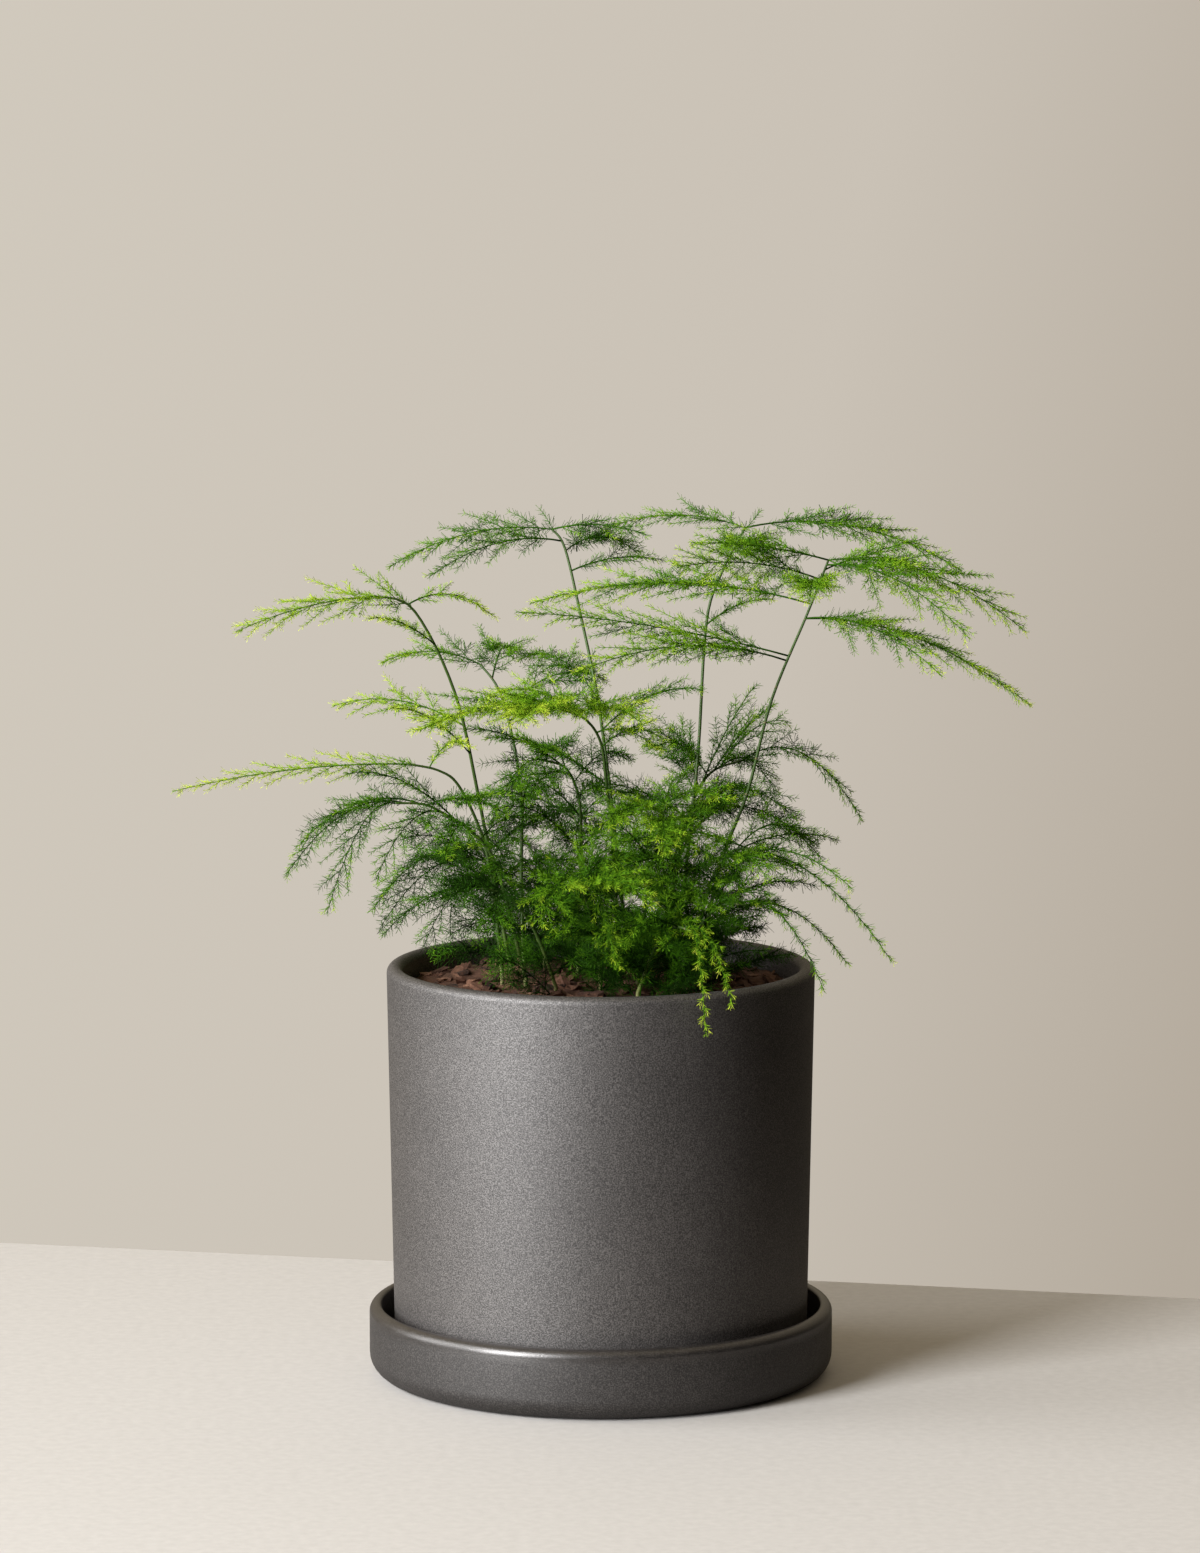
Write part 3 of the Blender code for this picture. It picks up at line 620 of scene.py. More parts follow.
# %% Say where each frond grows
FRONDS = {
    "frond_tall_left": {
        "root": (-35, 15), "youth": 0.47, "feathered": 0.88,
        "stem": [(-47, 8, 223), (-56, 0, 265), (-71, -8, 297), (-84, -12, 303)],
        "sprays": [
            (1.00, (-138, -28, 291), 3, 18),
            (0.94, (-42, 16, 293), 6, 10),
            (0.84, (-86, -45, 298), 3, 9),
            (0.66, (-104, 32, 256), 6, 13),
            (0.60, (-79, -45, 264), 5, 11),
        ],
    },
    "frond_tall_middle": {
        "root": (11, 16), "youth": 0.17,
        "stem": [(5, 21, 212), (-1, 28, 258), (-8, 35, 292), (-14, 40, 317), (-19, 42, 324)],
        "sprays": [
            (1.00, (-83, 56, 308), 6, 14),
            (0.97, (-66, 14, 308), 6, 12),
            (1.00, (18, 26, 323), 3, 10),
            (0.95, (14, 88, 311), 6, 15),
            (0.91, (24, 54, 311), 3, 10),
            (0.60, (39, -2, 266), 6, 12),
            (0.66, (-32, 92, 268), 8, 14),
        ],
    },
    "frond_tall_inner_right": {
        "root": (28, 5), "youth": 0.24,
        "stem": [(35, 13, 213), (38, 22, 243), (41, 30, 289), (47, 34, 308), (56, 38, 325)],
        "sprays": [
            (1.00, (2, 62, 323), 5, 13),
            (1.00, (141, 52, 307), 9, 18),
            (0.93, (66, 112, 305), 8, 16),
            (0.80, (66, 8, 300), 3, 8),
        ],
    },
    "frond_tall_right": {
        "root": (38, -6), "youth": 0.31,
        "stem": [(45, -9, 197), (56, -13, 228), (65, -17, 264), (78, -23, 297), (86, -25, 318)],
        "sprays": [
            (1.00, (160, -38, 292), 9, 20),
            (0.99, (136, -84, 294), 8, 16),
            (0.98, (132, 8, 304), 8, 14),
            (0.88, (163, -30, 263), 9, 16),
            (0.88, (126, -82, 280), 7, 13),
            (1.00, (34, -42, 326), 2, 16),
            (0.96, (28, -78, 320), 4, 19),
            (0.94, (76, -106, 310), 5, 15),
            (0.91, (-27, 2, 299), 8, 21),
            (0.80, (-32, -32, 299), 3, 17),
            (0.79, (-10, -64, 279), 8, 18),
        ],
    },
    "frond_middle_left": {
        "root": (-30, 26), "youth": 0.25,
        "stem": [(-31, 29, 185), (-31, 31, 220), (-35, 35, 246), (-40, 39, 262), (-47, 43, 271)],
        "sprays": [
            (1.00, (-86, 58, 270), 5, 14),
            (0.95, (-36, 88, 272), 6, 16),
            (0.86, (2, 70, 262), 8, 16),
        ],
    },
    "frond_middle_front": {
        "root": (7, 0), "youth": 0.41,
        "stem": [(5, -4, 201), (2, -8, 232), (0, -12, 247), (-6, -20, 257), (-16, -30, 262)],
        "sprays": [
            (1.00, (-67, -74, 259), 5, 23),
            (0.97, (-30, -112, 266), 5, 22),
            (0.93, (16, -84, 262), 5, 17),
            (0.84, (21, -32, 247), 4, 8),
            (0.86, (-44, 0, 263), 8, 15),
        ],
    },
    "frond_long_left": {
        "root": (-38, 0), "youth": 0.6, "feathered": 0.88,
        "stem": [(-41, -1, 185), (-45, -2, 208), (-54, -6, 229), (-62, -10, 236), (-74, -14, 239)],
        "sprays": [
            (1.00, (-162, -34, 231), 3, 12),
            (0.93, (-50, -40, 249), 5, 8),
        ],
    },
    "frond_drooping_left": {
        "root": (-29, -9), "youth": 0.14,
        "stem": [(-40, -14, 200), (-50, -18, 214), (-58, -22, 220), (-67, -26, 225), (-78, -30, 226)],
        "sprays": [
            (1.00, (-103, -50, 187), 12, 13),
            (0.97, (-119, -42, 200), 10, 13),
            (0.92, (-115, -10, 208), 8, 11),
            (0.84, (-84, -66, 202), 9, 13),
            (0.74, (-58, -80, 212), 6, 12),
        ],
    },
    "frond_back_left": {
        "root": (-22, 38), "youth": 0.05,
        "stem": [(-30, 44, 176), (-42, 50, 190), (-55, 54, 195)],
        "sprays": [
            (1.00, (-90, 58, 172), 8, 14),
            (0.92, (-86, 22, 170), 9, 12),
            (0.88, (-62, 98, 184), 7, 15),
        ],
    },
    "frond_arching_right": {
        "root": (24, 22), "youth": 0.19,
        "stem": [(29, 27, 190), (35, 33, 216), (43, 39, 229), (55, 44, 233)],
        "sprays": [
            (1.00, (103, 54, 208), 15, 13),
            (0.84, (60, 46, 262), 3, 12),
            (0.90, (67, 20, 258), 3, 12),
            (0.80, (18, 84, 234), 6, 13),
            (0.93, (70, 92, 214), 8, 13),
        ],
    },
    "frond_low_right": {
        "root": (33, -20), "youth": 0.23,
        "stem": [(38, -22, 180), (44, -24, 200), (52, -26, 208), (62, -28, 207)],
        "sprays": [
            (1.00, (110, -40, 167), 8, 4),
            (0.97, (94, -62, 198), 5, 6),
            (0.91, (92, 12, 206), 4, 8),
            (0.82, (62, -80, 204), 5, 12),
        ],
    },
    "frond_rim_right": {
        "root": (28, -34), "youth": 0.23,
        "stem": [(35, -38, 176), (45, -41, 188), (55, -42, 189)],
        "sprays": [
            (1.00, (94, -20, 163), 8, 4),
            (0.96, (84, -52, 158), 12, 4.5),
        ],
    },
    "frond_front_hanging": {
        "root": (14, -42), "youth": 0.38, "low_youth": 0.2, "feathered": 0.3,
        "stem": [(20, -48, 172), (27, -55, 182), (34, -62, 182)],
        "sprays": [
            (1.00, (39, -84, 146), 12, 5.5),
            (0.95, (49, -79, 157), 10, 5.5),
        ],
    },
    "frond_front_middle": {
        "root": (0, -26), "youth": 0.26,
        "stem": [(-2, -33, 175), (-6, -41, 192), (-11, -49, 199)],
        "sprays": [
            (1.00, (-22, -88, 188), 6, 17),
            (0.96, (6, -72, 170), 12, 8),
            (0.92, (20, -94, 196), 6, 13),
        ],
    },
    "frond_front_left": {
        "root": (-17, -30), "youth": 0.02,
        "stem": [(-25, -36, 178), (-35, -43, 192), (-45, -48, 196)],
        "sprays": [
            (1.00, (-66, -74, 178), 8, 14),
            (0.92, (-82, -44, 178), 8, 12),
            (0.90, (-40, -86, 178), 8, 13),
        ],
    },
    "frond_inner_left": {
        "root": (-9, 20), "youth": 0.13,
        "stem": [(-8, 17, 190), (-8, 13, 219), (-13, 9, 234), (-22, 5, 238)],
        "sprays": [
            (1.00, (-42, -14, 216), 8, 13),
            (0.92, (-22, 58, 232), 7, 14),
            (0.88, (-28, -40, 228), 6, 13),
        ],
    },
    "frond_inner_right": {
        "root": (14, -14), "youth": 0.25,
        "stem": [(17, -18, 185), (21, -23, 211), (25, -30, 226)],
        "sprays": [
            (1.00, (46, -66, 232), 4, 14),
            (0.95, (2, -78, 224), 5, 15),
            (0.90, (24, -100, 216), 6, 13),
            (0.84, (52, 6, 220), 6, 10),
        ],
    },
    "frond_back_right": {
        "root": (17, 38), "youth": 0.08,
        "stem": [(26, 50, 182), (36, 62, 202), (46, 72, 210)],
        "sprays": [
            (1.00, (88, 92, 188), 8, 15),
            (0.93, (50, 118, 198), 7, 15),
        ],
    },
    "frond_back_middle": {
        "root": (-4, 44), "youth": 0.08,
        "stem": [(-6, 57, 182), (-9, 72, 202), (-12, 84, 207)],
        "sprays": [
            (1.00, (-20, 132, 186), 8, 15),
            (0.93, (-58, 116, 206), 8, 14),
            (0.90, (18, 126, 206), 8, 12),
        ],
    },
}
print(len(FRONDS), "fronds with", sum(len(frond["sprays"]) for frond in FRONDS.values()), "sprays")

# %% [markdown]
# ### Paths
#
# A stem is a smooth curve through its points. A rib is a straight line raised by an arch. `even_shares`
# parts a length into even steps, and `stations` walks along a path and stops at them, which is where
# branches, twigs and tufts grow.

# %% Path helpers
ROOT_DEPTH = 24 * MM
COLLAR_HEIGHT = 5 * MM
STEM_STEPS = 6
RIB_STEPS = 14


def smooth_path(points, steps):
    """Points along a smooth curve through the given ones, with steps pieces between two of them."""
    path = []
    for i in range(len(points) - 1):
        before, after = points[max(i - 1, 0)], points[min(i + 2, len(points) - 1)]
        start, end = points[i], points[i + 1]
        for t in [step / steps for step in range(steps)]:
            bend = (2 * before - 5 * start + 4 * end - after) * t**2
            twist = (3 * start - before - 3 * end + after) * t**3
            path.append(0.5 * (2 * start + (end - before) * t + bend + twist))
    return [*path, points[-1]]


def stem_path(frond):
    x, y = frond["root"]
    foot = Vector((x * MM, y * MM, SOIL_Z - ROOT_DEPTH))
    collar = Vector((x * MM, y * MM, SOIL_Z + COLLAR_HEIGHT))
    return [foot, *smooth_path([collar, *[Vector(point) * MM for point in frond["stem"]]], STEM_STEPS)]


def rib_path(start, tip, arch):
    shares = [i / RIB_STEPS for i in range(RIB_STEPS + 1)]
    return [start.lerp(tip, s) + UP * (4 * arch * s * (1 - s)) for s in shares]


def path_length(path):
    return sum((b - a).length for a, b in zip(path, path[1:]))


def stations(path, shares):
    """The place and direction at each of the rising shares of a path's length."""
    spans = [(b - a).length for a, b in zip(path, path[1:])]
    total = sum(spans)
    found = []
    i = 0
    passed = 0
    for share in shares:
        while i < len(spans) - 1 and passed + spans[i] < share * total:
            passed += spans[i]
            i += 1
        step = path[i + 1] - path[i]
        found.append((path[i] + step * ((share * total - passed) / spans[i]), step.normalized()))
    return found


def even_shares(length, spacing, first, last):
    count = max(1, round(length * (last - first) / spacing))
    return [first + (last - first) * i / count for i in range(count + 1)]


print("path helpers ready")

# %% [markdown]
# ### A tuft of needles
#
# One tuft is a whorl of needles that lean forward along the branch. A twiglet is a short stalk with three
# smaller whorls. Each needle is a stretched tetrahedron: two of its edges lie across its ends, so that it
# is as thick at its tip as at its base. It has only four faces, so that tens of thousands of tufts stay
# light. A few tufts of each kind are made once, in several variants and ages, and then stamped along the
# branches. In the old growth low down the needles are long and spread wide, and in young growth they are
# short and lie forward. The float attribute `youth` carries the age of each point to the material, so
# that young tips turn yellow-green.

# %% Make the tufts
NEEDLE_LENGTH = (5.4 * MM, 3.1 * MM)  # in the oldest growth, and from SHORT_YOUTH on
SHORT_YOUTH = 0.4
NEEDLE_SCALE = (0.7, 1.15)
NEEDLE_WIDTH = (0.27 * MM, 0.28 * MM)
NEEDLE_LEAN = (math.radians(55), math.radians(40))
LEAN_SPREAD = math.radians(18)
NEEDLE_JITTER = 1.0 * MM  # along the limb
TURN_JITTER = 0.35  # of the angle from one needle to the next
WHORL_NEEDLES = 6
WHORL_TURN = 1.4  # radians for each millimetre along the stalk
TWIGLET_LENGTH = 4.8 * MM
TWIGLET_RADIUS = 0.13 * MM
TWIGLET_TIP = 0.3  # of that radius
TWIGLET_WHORLS = (0.3, 0.62, 0.95)  # as shares of the twiglet's length
TWIGLET_TAPER = (0.95, 0.7)  # size of a whorl at the stalk's base and at its tip
TWIGLET_NEEDLES = 5
TUFT_SEED = 5
TUFT_VARIANTS = 4
AGES = 7
TIP_RIPENING = 0.35
OLD_RIPENING = 0.25  # of that, in the oldest growth
RIPENING_RISE = 2  # with youth
NEEDLE_RIPENING = 0.4  # of that of a spray
TETRA_RADIUS = math.sqrt(1 / 3)  # of the base of a tetrahedron with edges of one metre
TETRA_HEIGHT = math.sqrt(2 / 3)


def between(pair, share):
    return pair[0] + (pair[1] - pair[0]) * share


def ripening(youth):
    """How much younger a spray gets towards its tip. In old growth the tips stay nearly as dark."""
    return TIP_RIPENING * min(1, OLD_RIPENING + RIPENING_RISE * youth)


def add_cone(bm, sides, radii, depth, matrix):
    """A closed cone along the Z axis, moved by the matrix. Returns its points."""
    made = bmesh.ops.create_cone(
        bm,
        cap_ends=True,
        segments=sides,
        radius1=radii[0],
        radius2=radii[1],
        depth=depth,
        matrix=matrix,
    )
    return made["verts"]


def needle_form(width, length):
    """Turns a regular tetrahedron with edges of one metre on edge, and stretches it along +Z."""
    on_edge = Matrix.Rotation(math.atan(math.sqrt(2)), 4, "X") @ Matrix.Translation((0, 0, TETRA_HEIGHT / 4))
    stretch = Matrix.Diagonal((width, width, math.sqrt(2) * length, 1))
    return Matrix.Translation((0, 0, length / 2)) @ stretch @ on_edge


def add_whorl(bm, height, count, size, age, chance):
    """Needles that fan out round the Z axis from about one height, growing towards +Z."""
    width = between(NEEDLE_WIDTH, age)
    for i in range(count):
        length = between(NEEDLE_LENGTH, min(1, age / SHORT_YOUTH)) * size * chance.uniform(*NEEDLE_SCALE)
        lean = between(NEEDLE_LEAN, age) + chance.uniform(-LEAN_SPREAD, LEAN_SPREAD)
        step = i + chance.uniform(-TURN_JITTER, TURN_JITTER)
        around = math.tau * step / count + WHORL_TURN * height / MM
        grow = Matrix.Translation((0, 0, height + chance.uniform(-NEEDLE_JITTER, NEEDLE_JITTER)))
        grow @= Matrix.Rotation(around, 4, "Z") @ Matrix.Rotation(lean, 4, "Y") @ needle_form(width, length)
        add_cone(bm, 3, (TETRA_RADIUS, 0), TETRA_HEIGHT, grow)


def make_tuft(kind, age, chance):
    """One tuft as a mesh: a single whorl, or a twiglet with its stalk and three whorls."""
    bm = bmesh.new()
    if kind == "whorl":
        add_whorl(bm, 0, WHORL_NEEDLES, 1, age, chance)
    else:
        stalk = Matrix.Translation((0, 0, TWIGLET_LENGTH / 2))
        add_cone(bm, 3, (TWIGLET_RADIUS, TWIGLET_TIP * TWIGLET_RADIUS), TWIGLET_LENGTH, stalk)
        for share in TWIGLET_WHORLS:
            size = between(TWIGLET_TAPER, share)
            add_whorl(bm, share * TWIGLET_LENGTH, TWIGLET_NEEDLES, size, age, chance)
    gain = NEEDLE_RIPENING * ripening(age)
    paint_points(bm, "youth", lambda point: age + gain * point.co.length / TWIGLET_LENGTH)
    return mesh_from(bm, kind)


chance = random.Random(TUFT_SEED)
ages = [level / (AGES - 1) for level in range(AGES)]
tufts = {
    kind: [[make_tuft(kind, age, chance) for _ in range(TUFT_VARIANTS)] for age in ages]
    for kind in ("whorl", "twiglet")
}
for kind, made in tufts.items():
    print("a", kind, "has", len(made[0][0].polygons), "faces")

# %% [markdown]
# ### Growing a spray
#
# `Growth` gathers one frond: a curve of limbs for each age, and a bmesh into which the tufts are
# stamped. A limb is a spline that gets thinner, and it may carry tufts along its length.

# %% Growth of one frond
TUFT_SPACING = 2.2 * MM
TUFTS_END = 0.99  # of the limb's length
WHORL_SCALE = (0.85, 1.1)
STAMP_YOUTH_SPREAD = 0.08
LIMB_ROUNDNESS = 0  # as a bevel resolution, which gives four sides
STEM_ROUNDNESS = 2


def new_curve(name, roundness):
    """A curve whose splines become tubes with closed ends."""
    curve = bpy.data.curves.new(name, "CURVE")
    curve.dimensions = "3D"
    curve.bevel_depth = 1
    curve.bevel_resolution = roundness
    curve.use_fill_caps = True
    return curve


def add_tube(curve, path, radii):
    """A spline along the path. Its radius goes from the first of the radii to the second."""
    spline = curve.splines.new("POLY")
    spline.points.add(len(path) - 1)
    for i, (point, place) in enumerate(zip(spline.points, path)):
        point.co = (*place, 1)
        point.radius = between(radii, i / (len(path) - 1))


def age_level(youth):
    return min(AGES - 1, max(0, round(youth * (AGES - 1))))


class Growth:
    """One frond as it grows: a curve of limbs for each age, and the needles stamped so far."""

    def __init__(self, name, seed):
        self.name = name
        self.chance = random.Random(seed)
        self.limbs = [new_curve(f"{name}_limbs_{level}", LIMB_ROUNDNESS) for level in range(AGES)]
        self.needles = bmesh.new()
        self.needles.verts.layers.float.new("youth")
        self.tufts = 0

    def add_limb(self, path, radii, youth):
        add_tube(self.limbs[age_level(youth)], path, radii)

    def stamp(self, kind, place, along, scale, youth):
        """Copies a tuft to a place on a limb, turned to grow along the given direction."""
        level = age_level(youth + self.chance.uniform(-STAMP_YOUTH_SPREAD, STAMP_YOUTH_SPREAD))
        tuft = tufts[kind][level][self.chance.randrange(TUFT_VARIANTS)].copy()
        spin = Matrix.Rotation(self.chance.uniform(0, math.tau), 4, "Z")
        turn = along.to_track_quat("Z", "Y").to_matrix().to_4x4()
        tuft.transform(Matrix.Translation(place) @ turn @ spin @ Matrix.Scale(scale, 4))
        self.needles.from_mesh(tuft)
        bpy.data.meshes.remove(tuft)
        self.tufts += 1

    def add_tufts(self, path, first, scales, youths):
        """Whorls at even steps along a path, from the first share to its tip."""
        shares = even_shares(path_length(path), TUFT_SPACING, first, TUFTS_END)
        for share, (place, along) in zip(shares, stations(path, shares)):
            scale = between(scales, share) * self.chance.uniform(*WHORL_SCALE)
            self.stamp("whorl", place, along, scale, between(youths, share))


print("tufts every", TUFT_SPACING / MM, "mm")

# %% [markdown]
# A spray is flat and feathery: its branches leave the rib left and right in turn, sweep forward and run
# nearly parallel. They are tilted a little up and down by turns, which gives the spray some depth.
# Twiglets leave the branches by the same rule. The branches are longest a quarter of the way out, which
# gives each spray its long narrow outline, and its tip ends in small young tufts.

# %% Rules for branches and twiglets
BRANCH_SPACING = 3.6 * MM  # between one on the left and the next on the right
BRANCH_ANGLE = math.radians(36)
BRANCH_ANGLE_SCALE = (0.75, 1.2)
BRANCH_LENGTH_SCALE = (0.75, 1.08)
BRANCH_TILT = math.radians(13)
BRANCH_FORWARD = 0.14
BRANCH_DROOP = (-0.02, 0.1)
BRANCH_RANGE = (0.11, 0.96)
BRANCH_TUFTS = (1, 0.75)  # their scales at the branch's base and tip
BRANCH_TUFTS_START = 0.15
BRANCH_YOUTH_SPREAD = 0.08
MIN_BRANCH_REACH = 1.3 * MM
TWIGLET_SPACING = 2.8 * MM
TWIGLET_RANGE = (0.15, 0.82)
TWIGLET_ANGLE = math.radians(38)
TWIGLET_SCALE = (0.62, 1.15)
TWIGLET_REACH = 0.27  # of the branch's length
TWIGLET_VANISH = 1.15  # the share of the branch at which that would come to nothing
TWIGLET_REACH_SCALE = (0.75, 1.15)
TWIGLET_LIFT = 0.6  # how far they leave the layer of the branches
LIMB_STEPS = 4
RIB_RADIUS = (0.36 * MM, 0.14 * MM)
RIB_TUFTS = (0.9, 0.6)
RIB_YOUTH = 0.5  # of the spray's
BRANCH_RADIUS = (0.18 * MM, 0.09 * MM)
NEEDLE_REACH = 2 * MM  # how far the needles stand out past the ends of the branches
SPRAY_SWELL = (0.45, 2.2)  # its width at the base, as a share, and how fast it gets wider
SPRAY_TAPER = (0.72, 1.6)  # how much narrower it is at the tip, and the power by which that comes
SPRAY_ROUNDING = (0.5, 8)  # the same for the round end


def outline(share):
    """A spray's plan shape, as a share of its half width: wide soon after its base, narrow at its tip."""
    swell = min(1, SPRAY_SWELL[0] + SPRAY_SWELL[1] * share)
    taper = 1 - SPRAY_TAPER[0] * share ** SPRAY_TAPER[1]
    rounding = 1 - SPRAY_ROUNDING[0] * share ** SPRAY_ROUNDING[1]
    return swell * taper * rounding


def bent_limb(base, along, side, angle, length, forward, droop):
    """A limb that leaves at an angle to the side, then bends forward and down."""
    heading = along * math.cos(angle) + side * math.sin(angle)
    shares = [i / LIMB_STEPS for i in range(LIMB_STEPS + 1)]
    return [base + length * (heading * s + (along * forward - UP * droop) * s * s) for s in shares]


def grow_branch(growth, base, along, side, length, youth):
    """A side branch with its whorls and its own small twiglets."""
    chance = growth.chance
    angle = BRANCH_ANGLE * chance.uniform(*BRANCH_ANGLE_SCALE)
    path = bent_limb(base, along, side, angle, length, BRANCH_FORWARD, chance.uniform(*BRANCH_DROOP))
    growth.add_limb(path, BRANCH_RADIUS, youth)
    growth.add_tufts(path, BRANCH_TUFTS_START, BRANCH_TUFTS, (youth, youth + ripening(youth)))
    normal = side.cross(along).normalized()
    shares = even_shares(path_length(path), TWIGLET_SPACING, *TWIGLET_RANGE)
    for i, (share, (place, heading)) in enumerate(zip(shares, stations(path, shares))):
        reach = length * TWIGLET_REACH * (TWIGLET_VANISH - share) * chance.uniform(*TWIGLET_REACH_SCALE)
        scale = min(TWIGLET_SCALE[1], reach / TWIGLET_LENGTH)
        if scale < TWIGLET_SCALE[0]:
            continue
        lift = chance.uniform(-TWIGLET_LIFT, TWIGLET_LIFT)
        out = heading.cross(normal).normalized() * (-1) ** i + normal * lift
        lead = heading * math.cos(TWIGLET_ANGLE) + out.normalized() * math.sin(TWIGLET_ANGLE)
        growth.stamp("twiglet", place, lead, scale, youth + ripening(youth) * share)


def grow_spray(growth, rib, half_width, roll, youth):
    """A spray: its rib, and its branches in one layer that may be rolled about the rib."""
    growth.add_limb(rib, RIB_RADIUS, youth * RIB_YOUTH)
    growth.add_tufts(rib, BRANCH_RANGE[0], RIB_TUFTS, (youth, youth + ripening(youth)))
    shares = even_shares(path_length(rib), BRANCH_SPACING, *BRANCH_RANGE)
    for i, (share, (place, along)) in enumerate(zip(shares, stations(rib, shares))):
        level_side = along.cross(UP).normalized() * (-1) ** i
        tilt = BRANCH_TILT * (-1) ** (i // 2) * (-1) ** i
        side = Matrix.Rotation(roll + tilt, 3, along) @ level_side
        reach = max(MIN_BRANCH_REACH, half_width * outline(share) - NEEDLE_REACH)
        length = reach / math.sin(BRANCH_ANGLE) * growth.chance.uniform(*BRANCH_LENGTH_SCALE)
        branch_youth = youth + ripening(youth) * share**2 + growth.chance.gauss(0, BRANCH_YOUTH_SPREAD)
        grow_branch(growth, place, along, side, length, branch_youth)


print("branches every", BRANCH_SPACING / MM, "mm on each rib")

# %% [markdown]
# ### The finishes of the plant
#
# Needles and twigs share one green that runs from a deep blue-green in old growth to yellow-green in
# young growth, by the `youth` attribute and a little noise. Stems are darker and glossier, and pale
# where they leave the soil. Their small dry bracts are straw brown, and the attribute tells them apart.

# %% Mix the greens
YOUTH_COLORS = [
    (0.06, (0.007, 0.023, 0.001)),
    (0.17, (0.019, 0.067, 0.003)),
    (0.35, (0.054, 0.162, 0.005)),
    (0.6, (0.165, 0.335, 0.011)),
    (0.85, (0.41, 0.55, 0.03)),
    (1.0, (0.60, 0.66, 0.08)),
]
PATCH_SIZE = 9 * MM
PATCH_SHARE = 0.18
NEEDLE_ROUGHNESS = 0.6
NEEDLE_LEVEL = 0.06
STEM_COLORS = [(0.1, (0.34, 0.31, 0.13)), (0.35, (0.15, 0.20, 0.04)), (0.75, (0.055, 0.105, 0.014))]
STEM_HEIGHTS = (SOIL_Z + 2 * MM, SOIL_Z + 26 * MM)  # where they are palest and where darkest
STREAK_SIZE = 2.5 * MM
STREAK_STRETCH = (1, 1, 0.15)  # long along the stem
STREAK_SHARE = 0.3
STEM_ROUGHNESS = 0.5
BRACT_COLOR = (0.30, 0.24, 0.12, 1)

needle_green, tree, shader = new_finish("fern_needles")
patches = object_noise(tree, PATCH_SIZE)
color = add_ramp(tree, mix(tree, read_attribute(tree, "youth"), patches, PATCH_SHARE), YOUTH_COLORS)
looks = {"Base Color": color, "Roughness": NEEDLE_ROUGHNESS, "Specular IOR Level": NEEDLE_LEVEL}
dress(tree, shader, looks)

stem_green, tree, shader = new_finish("fern_stems")
place = add_node(tree, "ShaderNodeTexCoord").outputs["Object"]
height = map_range(tree, add_node(tree, "ShaderNodeSeparateXYZ", vector=place).outputs["Z"], STEM_HEIGHTS)
streaks = object_noise(tree, STREAK_SIZE, detail=3, stretch=STREAK_STRETCH)
color = add_ramp(tree, mix(tree, height, streaks, STREAK_SHARE), STEM_COLORS)
color = mix(tree, color, BRACT_COLOR, read_attribute(tree, "youth"), "RGBA")
dress(tree, shader, {"Base Color": color, "Roughness": STEM_ROUGHNESS})
print("greens mixed")

# %% [markdown]
# ### The undergrowth
#
# Low down, the plant is so dense that hardly a stem shows through. Fourteen fronds carry extra small
# shoots there, by a rule: the lowest shoot leans out from the pot's middle, each one leaves its stem at
# the golden angle to the one before, rises a little and hangs over. A shoot that would reach out past the
# bush is shortened. The tips hang no lower than a shallow bowl, which rises more to the front, where a
# strip of soil shows.

# %% Plan the undergrowth
LOW_FRONDS = {  # how many shoots each carries, and how far from the pot's axis they may reach
    "frond_middle_left": (3, 75 * MM),
    "frond_middle_front": (7, 78 * MM),
    "frond_drooping_left": (7, 100 * MM),
    "frond_back_left": (20, 80 * MM),
    "frond_arching_right": (14, 84 * MM),
    "frond_low_right": (18, 82 * MM),
    "frond_rim_right": (18, 76 * MM),
    "frond_front_hanging": (8, 66 * MM),
    "frond_front_middle": (10, 64 * MM),
    "frond_front_left": (6, 74 * MM),
    "frond_inner_left": (12, 76 * MM),
    "frond_inner_right": (15, 70 * MM),
    "frond_back_right": (6, 82 * MM),
    "frond_back_middle": (6, 86 * MM),
}
GOLDEN_ANGLE = math.radians(137.5)
FIRST_SPREAD = math.radians(20)
SHOOT_LENGTH = (30 * MM, 52 * MM)
SHOOT_LEAVES = (0.22, 0.95)  # shares of the stem
SHOOT_HALF_WIDTH = (11 * MM, 15 * MM)
# The lowest shoots are darkest: the lowest gets none of its frond's youth, and the highest nearly all.
SHOOT_TONE_BY_HEIGHT = (0.0, 0.95)  # shares of the frond's youth, from its lowest shoot to its highest
SHOOT_RISE = (-0.1, 0.55)
SHOOT_ARCH = (0.08, 0.18)  # of the shoot's length
SHOOT_FLOOR = SOIL_Z + 5 * MM
BOWL_RISE = 10 * MM  # of that floor, from the pot's middle to the rim
FRONT_SLOPE = 0.2  # how much the floor rises for each metre to the front
BUSH_TOP = 0.252  # metres above the table, where the dense bush ends


